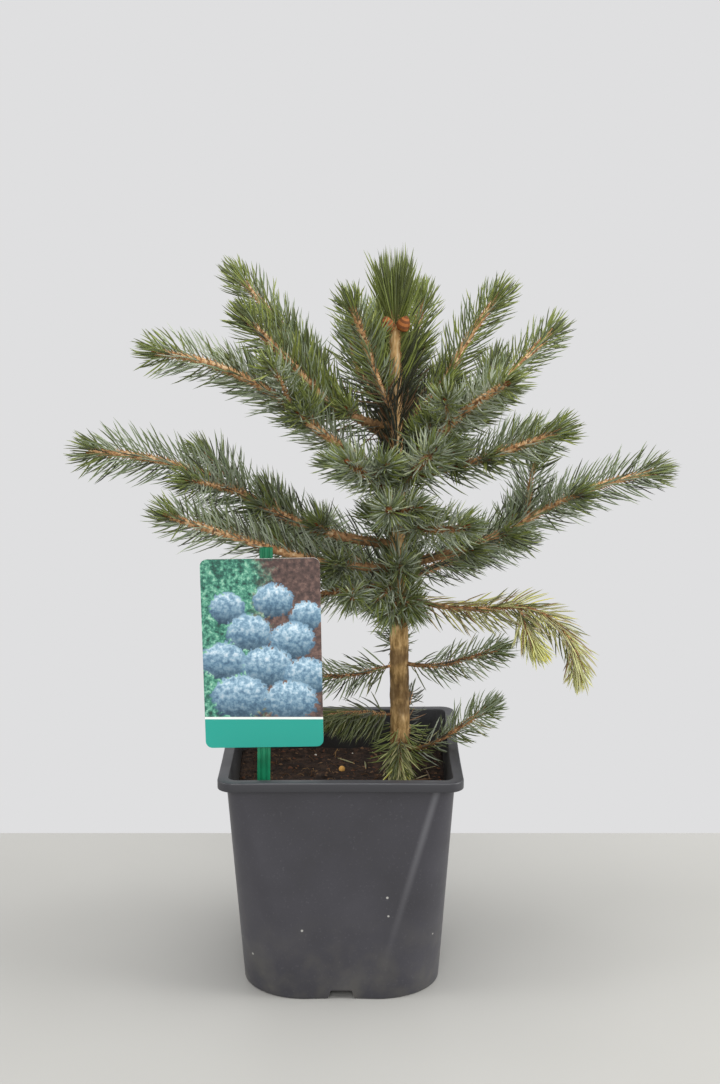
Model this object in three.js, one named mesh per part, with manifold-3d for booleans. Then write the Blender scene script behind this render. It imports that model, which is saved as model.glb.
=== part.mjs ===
// A young blue spruce in a square nursery pot, with its plant label.
// Millimetres, +Z up. The origin is under the middle of the pot, +X is to the right and
// -Y is the front. Every shoot grows from the trunk by one rule, from the table of shoots below.
import * as THREE from 'three';
import { mergeVertices } from 'three/addons/utils/BufferGeometryUtils.js';
import Module from 'manifold-3d';

const wasm = await Module();
wasm.setup();
const { Vector2, Vector3 } = THREE;
const UP = new Vector3(0, 0, 1);

// Clearance between pieces that touch, and the distance below which two points are one
const GAP = 0.3;
const SAME_POINT = 1e-4;

// Pot: a square tub whose corners get rounder towards the foot
const POT_HEIGHT = 138;
const FOOT_HALF = 58;
const FOOT_CORNER = 37;
const FOOT_BEVEL = 1.2;
const BODY_HALF = 65;
const BODY_CORNER = 8;
const WALL = 1.5;
const RIM_HALF = 70;
const RIM_CORNER = 9;
const RIM_DROP = 5.5;
const RIM_BEVEL = 0.8;
const CORNER_POINTS = 6;

// Drainage: a raised channel under the pot from the middle of each side
const DRAIN_FOOT_WIDTH = 16.3;
const DRAIN_TOP_WIDTH = 12.4;
const DRAIN_HEIGHT = 5.5;
const DRAIN_INNER_END = 30;
const CUT_PAST = 1;

// Soil
const SOIL_TOP = 113;

// Trunk
const TRUNK_FOOT = [35.5, 8];
const TRUNK_TIP = [31, 8];
const TRUNK_TOP = 384;
const FLARE_RADIUS = 7.6;
const FLARE_HEIGHT = 9;
const FLARE_RINGS = [2, 5];
// Height above the soil and radius
const TRUNK_RADII = [[0, 5.9], [90, 5.5], [150, 4.6], [220, 3.5], [275, 2.7]];
const TRUNK_SIDES = 10;
const TRUNK_RODS = 14;

// Plant label: a card on a ribbed stake pushed into the soil
const CARD_WIDTH = 67.5;
const CARD_HEIGHT = 111.5;
const CARD_THICK = 0.8;
const CARD_CORNER = 4;
const CARD_FOOT_Z = 151;
const CARD_X = -43.6;
const CARD_FRONT_Y = -45;
const CARD_LEAN = -0.9;
const CARD_ROOM = 2;
const STAKE_WIDTH = 7.5;
const STAKE_THICK = 2.2;
const STAKE_GROOVE = 1.3;
const STAKE_FOOT_Z = 85;
const STAKE_TOP_Z = 268.5;
const STAKE_X = -45.5;
const STAKE_LEAN = 1.2;

// Boughs and shoots
const ROUTE_STEPS = 12;
const STEEP = 0.9;
const BOUGH_TIP_RADIUS = 1.9;
const BOUGH_SWELL = 0.006;
const BOUGH_SIDES = 6;
const SHOOT_RADIUS = 2.2;
const SHOOT_SIDES = 3;
const SHOOT_STEP = 16;
const SHOOT_POINT = 5;
const TWIG_RADIUS = 2;
const TWIG_LEVELLING = 0.6;

// Needles: fewer and wider than the real ones. They stand out of the three faces of each shoot
// in turn, up to FACE_SPREAD degrees to either side of the face
const NEEDLE_STEP = 3.1;
const NEEDLE_LENGTH = 19;
const NEEDLE_RADIUS = 1;
const NEEDLE_WIDEN = 2.4;
const NEEDLE_REACH = 1.5;
const NEEDLE_TIP = 0.1;
const NEEDLE_SIDES = 3;
const NEEDLE_LEAN = 50;
const TIP_LEAN = 16;
const LEAST_LEAN = 5;
const TIP_STRETCH = 14;
const FACE_SPREAD = 33;
const SCATTER = 9;
const LENGTH_SCATTER = 0.15;
const NEEDLE_TESTS = [0.2, 0.3, 0.4, 0.5, 0.6, 0.7, 0.8, 0.9, 1];
const SLEEVE_WALL = 2;
const SLEEVE_STEP = 1.3;
const SLEEVE_SIDES = 6;

// Leader tip: the last of the stem, with long needles round its fat buds
const LEADER_TIP_Z = 403;
const LEADER_NEEDLE_LENGTH = 28;
const LEADER_LEAN = 30;
const BUD_Z = 391;
const BUD_OUT = 5;
const BUD_RADIUS = 3.4;
const BUD_LENGTH = 9;
const BUD_TURNS = [-10, 170, 250];
const BUD_SIDES = 6;
const BUD_BANDS = 4;
const LEADER_FOOT = 4;
const LEADER_RINGS = 5;
const LEADER_PER_RING = 6;

// Every shoot: height of its root on the trunk, compass angle (0 right, 90 back), length along
// the shoot, rise in degrees at root, middle and tip, swing of the angle from root to tip,
// length of bare bough before its needles, and side twigs
// [place along it 0 to 1, turn to the side, turn upwards, length].
const SHOOTS = [
  { name: 'foot_right', z: 131, turn: -14, long: 64, rise: [5, 38, 40], swing: 0, bare: 22, twigs: [] },
  { name: 'foot_left', z: 152, turn: 184, long: 43, rise: [12, 3, -5], swing: 0, bare: 0, twigs: [] },
  { name: 'foot_front', z: 136, turn: -92, long: 34, rise: [-8, -38, -62], swing: 0, bare: 0, twigs: [] },
  { name: 'foot_back', z: 140, turn: 80, long: 45, rise: [10, 20, 20], swing: 0, bare: 0, twigs: [] },
  { name: 'low_right', z: 186, turn: -23, long: 66, rise: [-9, 20, 24], swing: 0, bare: 18, twigs: [] },
  { name: 'low_left', z: 185, turn: 198, long: 60, rise: [-11, -6, 30], swing: 0, bare: 0, twigs: [] },
  { name: 'low_back', z: 192, turn: 95, long: 66, rise: [-5, 20, 25], swing: 0, bare: 0, twigs: [] },
  { name: 'yellow_right', z: 227, turn: -17, long: 131, rise: [-15, 12, -92], swing: 6, bare: 30,
    twigs: [[0.56, -46, -42, 30]] },
  { name: 'label_left', z: 233, turn: 212, long: 74, rise: [7, 0, -4], swing: 0, bare: 0, twigs: [] },
  { name: 'low_back_left', z: 224, turn: 106, long: 92, rise: [-6, 6, 12], swing: 0, bare: 24,
    twigs: [[0.5, 45, 10, 28]] },
  { name: 'wide_left', z: 258, turn: 188, long: 190, rise: [6, 34, 0], swing: -15, bare: 38,
    twigs: [[0.52, 42, -12, 46], [0.5, -40, 5, 40]] },
  { name: 'wide_right', z: 246, turn: 5, long: 162, rise: [6, 31, 8], swing: 0, bare: 34,
    twigs: [[0.5, 20, 55, 40], [0.55, -45, 0, 34]] },
  { name: 'front_left', z: 244, turn: -150, long: 156, rise: [5, 22, 23], swing: 0, bare: 34,
    twigs: [[0.55, -40, 5, 34]] },
  { name: 'front_right', z: 265, turn: -57, long: 72, rise: [18, 10, 18], swing: 0, bare: 0, twigs: [] },
  { name: 'front', z: 276, turn: -96, long: 60, rise: [14, 16, 14], swing: 0, bare: 0,
    twigs: [[0.55, 48, 0, 24]] },
  { name: 'back_right', z: 236, turn: 52, long: 128, rise: [0, 7, 2], swing: 5, bare: 34,
    twigs: [[0.52, -45, 5, 36], [0.55, 42, 0, 34]] },
  { name: 'back_left', z: 239, turn: 129, long: 132, rise: [0, 8, 2], swing: -6, bare: 34,
    twigs: [[0.5, 44, 0, 36], [0.54, -40, 5, 34]] },
  { name: 'high_left', z: 298, turn: -155, long: 170, rise: [27, 41, 8], swing: -20, bare: 36,
    twigs: [[0.48, 38, 12, 40], [0.5, -42, -5, 42]] },
  { name: 'high_front_right', z: 306, turn: -55, long: 118, rise: [24, 38, 24], swing: 0, bare: 28,
    twigs: [[0.5, -40, 0, 34], [0.54, 40, 5, 32]] },
  { name: 'high_right', z: 297, turn: -24, long: 106, rise: [13, 21, 25], swing: 0, bare: 28,
    twigs: [[0.55, 38, 5, 30]] },
  { name: 'high_front', z: 288, turn: -115, long: 75, rise: [22, 26, 26], swing: 0, bare: 0,
    twigs: [[0.5, 45, 5, 28], [0.52, -45, 0, 26]] },
  { name: 'high_front_low', z: 292, turn: -74, long: 78, rise: [24, 28, 28], swing: 0, bare: 0,
    twigs: [[0.5, 42, 5, 28]] },
  { name: 'high_back', z: 302, turn: 84, long: 112, rise: [18, 34, 22], swing: 0, bare: 28,
    twigs: [[0.5, 42, 5, 32], [0.54, -42, 0, 32]] },
  { name: 'top_back_left', z: 319, turn: 150, long: 142, rise: [19, 50, 39], swing: 0, bare: 30,
    twigs: [[0.52, 36, 5, 32]] },
  { name: 'top_left', z: 328, turn: 204, long: 118, rise: [6, 48, 43], swing: 8, bare: 28,
    twigs: [[0.5, -38, 5, 30]] },
  { name: 'top_front', z: 334, turn: -131, long: 80, rise: [49, 66, 59], swing: 0, bare: 0, twigs: [] },
  { name: 'top_back_left_upright', z: 334, turn: 130, long: 66, rise: [15, 45, 95], swing: 0, bare: 0,
    twigs: [] },
  { name: 'top_back_right_upright', z: 335, turn: 65, long: 74, rise: [49, 61, 68], swing: 0, bare: 0,
    twigs: [] },
  { name: 'top_right', z: 329, turn: 12, long: 97, rise: [24, 65, 46], swing: 0, bare: 24, twigs: [] },
  { name: 'top_back_right', z: 317, turn: 31, long: 127, rise: [4, 36, 36], swing: 4, bare: 28,
    twigs: [[0.52, 38, 5, 30]] },
  { name: 'top_back', z: 322, turn: 98, long: 96, rise: [20, 50, 45], swing: 0, bare: 0,
    twigs: [[0.5, -38, 5, 26]] },
];

// Lengths of trunk that carry needles of their own, with the needle's length
const TRUNK_SLEEVES = [
  { name: 'trunk_low', from: 200, to: 219, needle: 17 },
  { name: 'leader', from: 352, to: 380, needle: 20 },
];

// Looks
const GREY_PLASTIC = { color: 0x4b4b4f, roughness: 0.6 };
const PEAT = { color: 0x2a1e17, roughness: 1 };
const BARK = { color: 0x7a5a3a, roughness: 0.9 };
const YOUNG_BARK = { color: 0xb5804a, roughness: 0.9 };
const BLUE_NEEDLES = { color: 0x52706a, roughness: 0.8 };
const FRESH_NEEDLES = { color: 0x6a8a48, roughness: 0.8 };
const YELLOW_NEEDLES = { color: 0xa9a24a, roughness: 0.8 };
const OLIVE_NEEDLES = { color: 0x6b6a38, roughness: 0.8 };
const CARD_PRINT = { color: 0x9cbcd0, roughness: 0.4 };
const GREEN_PLASTIC = { color: 0x12704c, roughness: 0.5 };

const radians = THREE.MathUtils.degToRad;
const { lerp } = THREE.MathUtils;

// The same seed always gives the same numbers from 0 to 1
function seeded(seed) {
  let state = seed >>> 0;
  return () => {
    state = (state + 0x6d2b79f5) >>> 0;
    let mixed = Math.imul(state ^ (state >>> 15), state | 1);
    mixed ^= mixed + Math.imul(mixed ^ (mixed >>> 7), mixed | 61);
    return ((mixed ^ (mixed >>> 14)) >>> 0) / 4294967296;
  };
}

// A number between minus and plus the amount
function scatter(random, amount) {
  return (random() * 2 - 1) * amount;
}

// A closed solid from the outside of a geometry
function solidOf(geometry) {
  const bare = geometry.clone();
  bare.deleteAttribute('normal');
  bare.deleteAttribute('uv');
  const merged = mergeVertices(bare, SAME_POINT);
  const corners = merged.index.array;
  const points = merged.attributes.position.array;
  const faces = [];
  for (let i = 0; i < corners.length; i += 3) {
    const [a, b, c] = [corners[i], corners[i + 1], corners[i + 2]];
    if (a !== b && b !== c && c !== a) {
      faces.push(a, b, c);
    }
  }
  return new wasm.Manifold(new wasm.Mesh({
    numProp: 3,
    vertProperties: new Float32Array(points),
    triVerts: new Uint32Array(faces),
  }));
}

// Boolean scraps are dropped, so a node is always one body
function geometryOf(solid) {
  const bodies = solid.decompose();
  bodies.sort((a, b) => b.volume() - a.volume());
  const mesh = bodies[0].getMesh();
  const geometry = new THREE.BufferGeometry();
  const points = new Float32Array(mesh.vertProperties);
  geometry.setAttribute('position', new THREE.BufferAttribute(points, 3));
  geometry.setIndex(new THREE.BufferAttribute(new Uint32Array(mesh.triVerts), 1));
  geometry.computeVertexNormals();
  return geometry;
}

// One point of a rounded square ring, whose four corners are arcs of CORNER_POINTS each
function ringPoint(half, corner, index) {
  const side = Math.floor(index / CORNER_POINTS) % 4;
  const step = index % CORNER_POINTS;
  const angle = (side + step / (CORNER_POINTS - 1)) * Math.PI / 2;
  const middle = (side + 0.5) * Math.PI / 2;
  const centre = half - corner;
  return new Vector2(
    Math.sign(Math.cos(middle)) * centre + corner * Math.cos(angle),
    Math.sign(Math.sin(middle)) * centre + corner * Math.sin(angle),
  );
}

// A tub is turned like a lathe profile, from the axis below to the axis above, but each of its
// rings is a rounded square
function tub(profile) {
  const outline = profile.map((level) => new Vector2(level.half, level.z));
  const geometry = new THREE.LatheGeometry(outline, CORNER_POINTS * 4);
  const place = geometry.attributes.position;
  for (let i = 0; i < place.count; i += 1) {
    const level = profile[i % profile.length];
    if (level.half === 0) {
      place.setXYZ(i, 0, 0, level.z);
    } else {
      const point = ringPoint(level.half, level.corner, Math.floor(i / profile.length));
      place.setXYZ(i, point.x, point.y, level.z);
    }
  }
  return solidOf(geometry);
}

// The pot's wall at a height, moved inwards by an inset
function wallLevel(z, inset) {
  const part = z / (POT_HEIGHT - RIM_DROP);
  return {
    z,
    half: lerp(FOOT_HALF, BODY_HALF, part) - inset,
    corner: lerp(FOOT_CORNER, BODY_CORNER, part) - inset,
  };
}

function rimLevel(z, inset) {
  return { z, half: RIM_HALF - inset, corner: RIM_CORNER - inset };
}

function axisLevel(z) {
  return { z, half: 0, corner: 0 };
}

// A channel seen end on is a trapezium; grow adds the thickness of its roof and sides
function drainBlock(grow, from, to) {
  const shape = new THREE.Shape();
  const foot = DRAIN_FOOT_WIDTH / 2 + grow;
  const top = DRAIN_TOP_WIDTH / 2 + grow;
  shape.moveTo(-foot, -CUT_PAST);
  shape.lineTo(foot, -CUT_PAST);
  shape.lineTo(top, DRAIN_HEIGHT + grow);
  shape.lineTo(-top, DRAIN_HEIGHT + grow);
  shape.closePath();
  const block = new THREE.ExtrudeGeometry(shape, { depth: to - from, bevelEnabled: false });
  block.rotateX(Math.PI / 2);
  block.translate(0, -from, 0);
  return solidOf(block);
}

function onFourSides(block) {
  return wasm.Manifold.union([0, 90, 180, 270].map((turn) => block.rotate([0, 0, turn])));
}

function potSolid() {
  const outer = [
    axisLevel(0),
    wallLevel(0, FOOT_BEVEL),
    wallLevel(FOOT_BEVEL, 0),
    wallLevel(POT_HEIGHT - WALL, 0),
    rimLevel(POT_HEIGHT - WALL, WALL),
    rimLevel(POT_HEIGHT - RIM_DROP, WALL),
    rimLevel(POT_HEIGHT - RIM_DROP, 0),
    rimLevel(POT_HEIGHT - RIM_BEVEL, 0),
    rimLevel(POT_HEIGHT, RIM_BEVEL),
  ];
  const inner = [
    wallLevel(POT_HEIGHT, WALL - RIM_BEVEL),
    wallLevel(POT_HEIGHT - RIM_BEVEL, WALL),
    wallLevel(WALL, WALL),
    axisLevel(WALL),
  ];
  const body = tub([...outer, ...inner]);
  // The lower half of the pot as if it were full trims the channels' hoods to its outline
  const filled = tub([axisLevel(0), wallLevel(0, FOOT_BEVEL), wallLevel(FOOT_BEVEL, 0),
    wallLevel(POT_HEIGHT / 2, 0), axisLevel(POT_HEIGHT / 2)]);
  const hoods = onFourSides(drainBlock(WALL, DRAIN_INNER_END - WALL, RIM_HALF)).intersect(filled);
  const channels = onFourSides(drainBlock(0, DRAIN_INNER_END, RIM_HALF));
  return body.add(hoods).subtract(channels);
}

// The stake has two grooves down its front. Grown by a clearance it is the plain slot it sits in
function stakeSolid(grow) {
  const half = STAKE_WIDTH / 2 + grow;
  const deep = STAKE_THICK / 2 + grow;
  const groove = grow > 0 ? 0 : STAKE_THICK / 4;
  const shape = new THREE.Shape();
  shape.moveTo(-half, -deep);
  for (const x of [-STAKE_GROOVE, STAKE_GROOVE]) {
    shape.lineTo(x - STAKE_GROOVE / 2, -deep);
    shape.lineTo(x - STAKE_GROOVE / 4, groove - deep);
    shape.lineTo(x + STAKE_GROOVE / 4, groove - deep);
    shape.lineTo(x + STAKE_GROOVE / 2, -deep);
  }
  shape.lineTo(half, -deep);
  shape.lineTo(half, deep);
  shape.lineTo(-half, deep);
  shape.closePath();
  const depth = STAKE_TOP_Z - STAKE_FOOT_Z + grow;
  const stake = new THREE.ExtrudeGeometry(shape, { depth, bevelEnabled: false });
  stake.rotateY(radians(STAKE_LEAN));
  const behind = CARD_FRONT_Y + CARD_THICK + GAP + STAKE_THICK / 2;
  stake.translate(STAKE_X, behind, STAKE_FOOT_Z - grow);
  return solidOf(stake);
}

function cardSolid() {
  const [w, h, r] = [CARD_WIDTH / 2, CARD_HEIGHT, CARD_CORNER];
  const shape = new THREE.Shape();
  shape.moveTo(r - w, 0);
  shape.lineTo(w - r, 0);
  shape.absarc(w - r, r, r, -Math.PI / 2, 0);
  shape.absarc(w - r, h - r, r, 0, Math.PI / 2);
  shape.absarc(r - w, h - r, r, Math.PI / 2, Math.PI);
  shape.absarc(r - w, r, r, Math.PI, Math.PI * 1.5);
  const card = new THREE.ExtrudeGeometry(shape, {
    depth: CARD_THICK, bevelEnabled: false, curveSegments: 5,
  });
  card.rotateX(Math.PI / 2);
  card.rotateY(radians(CARD_LEAN));
  card.translate(CARD_X, CARD_FRONT_Y + CARD_THICK, CARD_FOOT_Z);
  return solidOf(card);
}

function soilSolid() {
  const block = tub([axisLevel(WALL + GAP), wallLevel(WALL + GAP, WALL + GAP),
    wallLevel(SOIL_TOP, WALL + GAP), axisLevel(SOIL_TOP)]);
  const hoods = onFourSides(drainBlock(WALL + GAP, DRAIN_INNER_END - WALL - GAP, RIM_HALF));
  return block.subtract(hoods).subtract(stakeSolid(GAP));
}

// The trunk's centre at a height
function trunkAt(z) {
  const part = (z - SOIL_TOP) / (TRUNK_TOP - SOIL_TOP);
  const [x, y] = [0, 1].map((axis) => lerp(TRUNK_FOOT[axis], TRUNK_TIP[axis], part));
  return new Vector3(x, y, z);
}

function trunkRadius(z) {
  const height = z - SOIL_TOP;
  if (height < FLARE_HEIGHT) {
    const part = Math.max(height, 0) / FLARE_HEIGHT;
    return lerp(FLARE_RADIUS, TRUNK_RADII[0][1], Math.sqrt(part));
  }
  const upper = Math.max(1, TRUNK_RADII.findIndex((row) => row[0] >= height));
  const [h0, r0] = TRUNK_RADII[upper - 1];
  const [h1, r1] = TRUNK_RADII[upper];
  return THREE.MathUtils.mapLinear(Math.min(height, TRUNK_TOP - SOIL_TOP), h0, h1, r0, r1);
}

// A stretch of trunk, or of a sleeve round it, between two heights
function trunkStretch(from, to, grow, sides) {
  const rings = [...FLARE_RINGS, FLARE_HEIGHT, ...TRUNK_RADII.slice(1).map((row) => row[0])];
  const between = rings.map((height) => SOIL_TOP + height).filter((z) => z > from + GAP && z < to - GAP);
  const outline = [new Vector2(0, from)];
  for (const z of [from, ...between, to]) {
    outline.push(new Vector2(trunkRadius(z) + grow, z));
  }
  outline.push(new Vector2(0, to));
  const geometry = new THREE.LatheGeometry(outline, sides);
  geometry.rotateX(Math.PI / 2);
  const place = geometry.attributes.position;
  for (let i = 0; i < place.count; i += 1) {
    const centre = trunkAt(place.getZ(i));
    place.setXY(i, place.getX(i) + centre.x, place.getY(i) + centre.y);
  }
  return solidOf(geometry);
}

const TRUNK = trunkStretch(SOIL_TOP + GAP, TRUNK_TOP, 0, TRUNK_SIDES);
const TRUNK_SPACE = trunkStretch(SOIL_TOP - GAP, TRUNK_TOP + GAP, GAP, TRUNK_SIDES);

// The path of a shoot: it sets out from a point and turns evenly from rise to rise
function route(start, turn, long, rise, swing) {
  const pace = long / ROUTE_STEPS;
  const points = [start.clone()];
  const here = start.clone();
  for (let i = 0; i < ROUTE_STEPS; i += 1) {
    const part = (i + 0.5) / ROUTE_STEPS;
    const half = part < 0.5 ? 0 : 1;
    const lift = radians(lerp(rise[half], rise[half + 1], part * 2 - half));
    const angle = radians(turn + swing * (part - 0.5));
    const level = new Vector3(Math.cos(angle), Math.sin(angle), 0).multiplyScalar(Math.cos(lift));
    here.addScaledVector(level.setZ(Math.sin(lift)), pace);
    points.push(here.clone());
  }
  return new THREE.CatmullRomCurve3(points);
}

// The stretch of a path between two distances from its start
function stretch(path, from, to) {
  const whole = path.getLength();
  const count = Math.max(2, Math.round((to - from) / SHOOT_STEP));
  const points = [];
  for (let i = 0; i <= count; i += 1) {
    const part = (from + (to - from) * i / count) / whole;
    points.push(path.getPointAt(Math.min(part, 1)));
  }
  return points;
}

// The direction of one step of a list of points
function heading(points, step) {
  return new Vector3().subVectors(points[step + 1], points[step]).normalize();
}

// The core of a shoot: rings of SHOOT_SIDES corners, mitred where the shoot bends, so that each
// of its faces is flat, and a pointed end. Corner 0 hangs down.
function core(points, radius) {
  const last = points.length - 1;
  const tip = points[last];
  const shoulder = tip.clone().addScaledVector(heading(points, last - 1), -SHOOT_POINT);
  const spine = [...points.slice(0, last), shoulder, tip];
  let forward = heading(spine, 0);
  const level = Math.abs(forward.z) > STEEP ? new Vector3(1, 0, 0) : UP;
  const down = new Vector3().crossVectors(forward, level).cross(forward).normalize();
  const rings = [[]];
  for (let k = 0; k < SHOOT_SIDES; k += 1) {
    const outward = down.clone().applyAxisAngle(forward, 2 * Math.PI * k / SHOOT_SIDES);
    rings[0].push(spine[0].clone().addScaledVector(outward, -radius));
  }
  for (let i = 1; i <= last; i += 1) {
    const onward = heading(spine, i);
    const mitre = forward.clone().add(onward);
    rings.push(rings[i - 1].map((corner) => {
      const run = new Vector3().subVectors(spine[i], corner).dot(mitre) / forward.dot(mitre);
      return corner.clone().addScaledVector(forward, run);
    }));
    forward = onward;
  }
  rings.push(rings[0].map(() => tip));
  return { spine, rings, radius };
}

function coreSolid({ spine, rings }) {
  const steps = spine.length - 1;
  const geometry = new THREE.CylinderGeometry(1, 1, 1, SHOOT_SIDES, steps);
  const place = geometry.attributes.position;
  for (let i = 0; i < place.count; i += 1) {
    const [x, y, z] = [place.getX(i), place.getY(i), place.getZ(i)];
    const step = Math.round((y + 0.5) * steps);
    const corner = Math.round(Math.atan2(x, z) * SHOOT_SIDES / (2 * Math.PI)) + SHOOT_SIDES;
    const spot = Math.hypot(x, z) < 0.5 ? spine[step] : rings[step][corner % SHOOT_SIDES];
    place.setXYZ(i, spot.x, spot.y, spot.z);
  }
  return solidOf(geometry);
}

// A tapering limb through a list of points
function limb(points, rootRadius, tipRadius, sides) {
  const curve = new THREE.CatmullRomCurve3(points);
  const steps = points.length - 1;
  const frames = curve.computeFrenetFrames(steps, false);
  const geometry = new THREE.CylinderGeometry(1, 1, 1, sides, steps);
  const place = geometry.attributes.position;
  const spot = new Vector3();
  for (let i = 0; i < place.count; i += 1) {
    const part = place.getY(i) + 0.5;
    const step = Math.round(part * steps);
    const radius = lerp(rootRadius, tipRadius, part);
    spot.copy(curve.getPoint(step / steps));
    spot.addScaledVector(frames.normals[step], place.getX(i) * radius);
    spot.addScaledVector(frames.binormals[step], -place.getZ(i) * radius);
    place.setXYZ(i, spot.x, spot.y, spot.z);
  }
  return solidOf(geometry);
}

// What stands in the way of needles: cores, boughs and other needles, as tapering rods
const rods = [];

function rodBetween(from, to, radii) {
  const line = new THREE.Line3(from, to);
  const middle = line.getCenter(new Vector3());
  return { line, radii, middle, reach: line.distance() / 2 + radii[0] };
}

function addRods(owner, points, rootRadius, tipRadius) {
  const last = points.length - 1;
  for (let i = 1; i <= last; i += 1) {
    const radii = [i - 1, i].map((k) => lerp(rootRadius, tipRadius, k / last));
    rods.push({ owner, ...rodBetween(points[i - 1], points[i], radii) });
  }
}

function rodRadius(rod, point) {
  const part = point.distanceTo(rod.line.start) / rod.line.distance();
  return lerp(rod.radii[0], rod.radii[1], part);
}

const nearHere = new Vector3();
const nearThere = new Vector3();

function areApart(rod, other) {
  if (other.middle.distanceTo(rod.middle) > other.reach + rod.reach + GAP) {
    return true;
  }
  const apart = Math.sqrt(rod.line.distanceSqToLine3(other.line, nearHere, nearThere));
  return apart >= rodRadius(rod, nearHere) + rodRadius(other, nearThere) + GAP;
}

// A rod is clear when it keeps off every rod but those of its own owners
function isClear(owners, rod) {
  return rods.every((other) => owners.includes(other.owner) || areApart(rod, other));
}

// Needles keep out of the soil, the pot's wall and the label
function isFree(point) {
  const room = NEEDLE_RADIUS + GAP;
  const out = Math.max(Math.abs(point.x), Math.abs(point.y));
  const overSoil = point.z > SOIL_TOP + room;
  const overRim = point.z > POT_HEIGHT + room;
  const offWall = out < BODY_HALF - WALL - RIM_BEVEL - room || out > RIM_HALF + room;
  const labelBack = CARD_FRONT_Y + CARD_THICK + STAKE_THICK;
  const besideLabel = Math.abs(point.x - CARD_X) > CARD_WIDTH / 2 + CARD_ROOM + room;
  const overLabel = point.z > STAKE_TOP_Z + room;
  const offLabel = point.y < CARD_FRONT_Y - CARD_ROOM - room || point.y > labelBack + CARD_ROOM + room;
  return overSoil && (overRim || offWall) && (besideLabel || overLabel || offLabel);
}

// The way of one needle, and the heading of the shoot it stands on
function needleRod(root, direction, length, forward) {
  const end = root.clone().addScaledVector(direction, length);
  return { ...rodBetween(root, end, [NEEDLE_REACH, NEEDLE_TIP]), forward };
}

// A needle is a slim blade, wider along its shoot than across
function needleSolid({ line, forward }) {
  const length = line.distance();
  const spike = new THREE.ConeGeometry(NEEDLE_RADIUS, length, NEEDLE_SIDES, 1);
  spike.translate(0, length / 2, 0);
  spike.scale(NEEDLE_WIDEN, 1, 1);
  const direction = line.delta(new Vector3()).normalize();
  const across = new Vector3().crossVectors(forward, direction).normalize();
  spike.applyMatrix4(new THREE.Matrix4().makeBasis(forward, direction, across).setPosition(line.start));
  return solidOf(spike);
}

// Needles along a core, lying closer to it towards its tip
function needlesOn(owners, { spine, rings }, random, { length, spacing }) {
  const spikes = [];
  const whole = spine.reduce((sum, point, i) => (i === 0 ? 0 : sum + point.distanceTo(spine[i - 1])), 0);
  let [step, passed] = [0, 0];
  const count = Math.floor(whole / spacing);
  for (let i = 0; i < count; i += 1) {
    const run = Math.min((i + 0.5) * spacing, whole - SHOOT_POINT);
    while (run > passed + spine[step].distanceTo(spine[step + 1])) {
      passed += spine[step].distanceTo(spine[step + 1]);
      step += 1;
    }
    const forward = heading(spine, step);
    const root = spine[step].clone().addScaledVector(forward, run - passed);
    const face = rings[step][i % SHOOT_SIDES].clone().add(rings[step][(i + 1) % SHOOT_SIDES]);
    const outward = face.multiplyScalar(0.5).sub(spine[step]).projectOnPlane(forward).normalize();
    outward.applyAxisAngle(forward, radians(scatter(random, FACE_SPREAD)));
    const nearTip = Math.max(0, 1 - (whole - run - SHOOT_POINT) / TIP_STRETCH);
    const slant = radians(lerp(NEEDLE_LEAN, TIP_LEAN, nearTip) + scatter(random, SCATTER));
    const direction = forward.clone().multiplyScalar(Math.cos(slant));
    direction.addScaledVector(outward, Math.sin(slant));
    const reach = length * (1 + scatter(random, LENGTH_SCATTER));
    const rod = needleRod(root, direction, reach, forward);
    const tests = NEEDLE_TESTS.map((part) => rod.line.at(part, new Vector3()));
    if (tests.every(isFree) && isClear(owners, rod)) {
      spikes.push(rod);
      rods.push({ owner: owners[0], ...rod });
    }
  }
  return spikes.map(needleSolid);
}

// A twig leaves its stem at a place along it, turned to the side and up or down
function twigPoints(stem, along, turn, lift, long) {
  const curve = new THREE.CatmullRomCurve3(stem);
  const root = curve.getPointAt(along);
  const forward = curve.getTangentAt(along);
  const angle = THREE.MathUtils.radToDeg(Math.atan2(forward.y, forward.x)) + turn;
  const climb = THREE.MathUtils.radToDeg(Math.asin(forward.z)) + lift;
  return stretch(route(root, angle, long, [climb, climb, climb * TWIG_LEVELLING], 0), 0, long);
}

const plant = new THREE.Group();

function addNode(name, solid, look) {
  const material = new THREE.MeshStandardMaterial({ ...look, metalness: 0 });
  const mesh = new THREE.Mesh(geometryOf(solid), material);
  mesh.name = name;
  plant.add(mesh);
}

function needleLook(name) {
  if (name === 'yellow_right') {
    return YELLOW_NEEDLES;
  }
  if (name.startsWith('foot')) {
    return OLIVE_NEEDLES;
  }
  return name.startsWith('top') ? FRESH_NEEDLES : BLUE_NEEDLES;
}

// Stems first, so that every needle knows what to keep clear of
const crowns = SHOOTS.map((shoot, number) => {
  const random = seeded(number + 1);
  const path = route(trunkAt(shoot.z), shoot.turn, shoot.long, shoot.rise, shoot.swing);
  const rootRadius = BOUGH_TIP_RADIUS + shoot.long * BOUGH_SWELL;
  const crown = { shoot, random, stems: [], rootRadius };
  const first = shoot.bare > 0 ? shoot.bare + GAP : 0;
  const stem = stretch(path, first, shoot.long);
  crown.stems.push(core(stem, SHOOT_RADIUS));
  for (const [along, turn, lift, long] of shoot.twigs) {
    const place = (along * shoot.long - first) / (shoot.long - first);
    const twig = twigPoints(stem, place, turn + scatter(random, SCATTER / 2), lift, long);
    crown.stems.push(core(twig, TWIG_RADIUS));
  }
  if (shoot.bare > 0) {
    crown.bough = stretch(path, 0, shoot.bare);
    addRods(`bough_${shoot.name}`, crown.bough, rootRadius, BOUGH_TIP_RADIUS);
  }
  crown.stems.forEach(({ spine, radius }, k) => addRods(`${shoot.name} ${k}`, spine, radius, radius));
  return crown;
});

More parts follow.
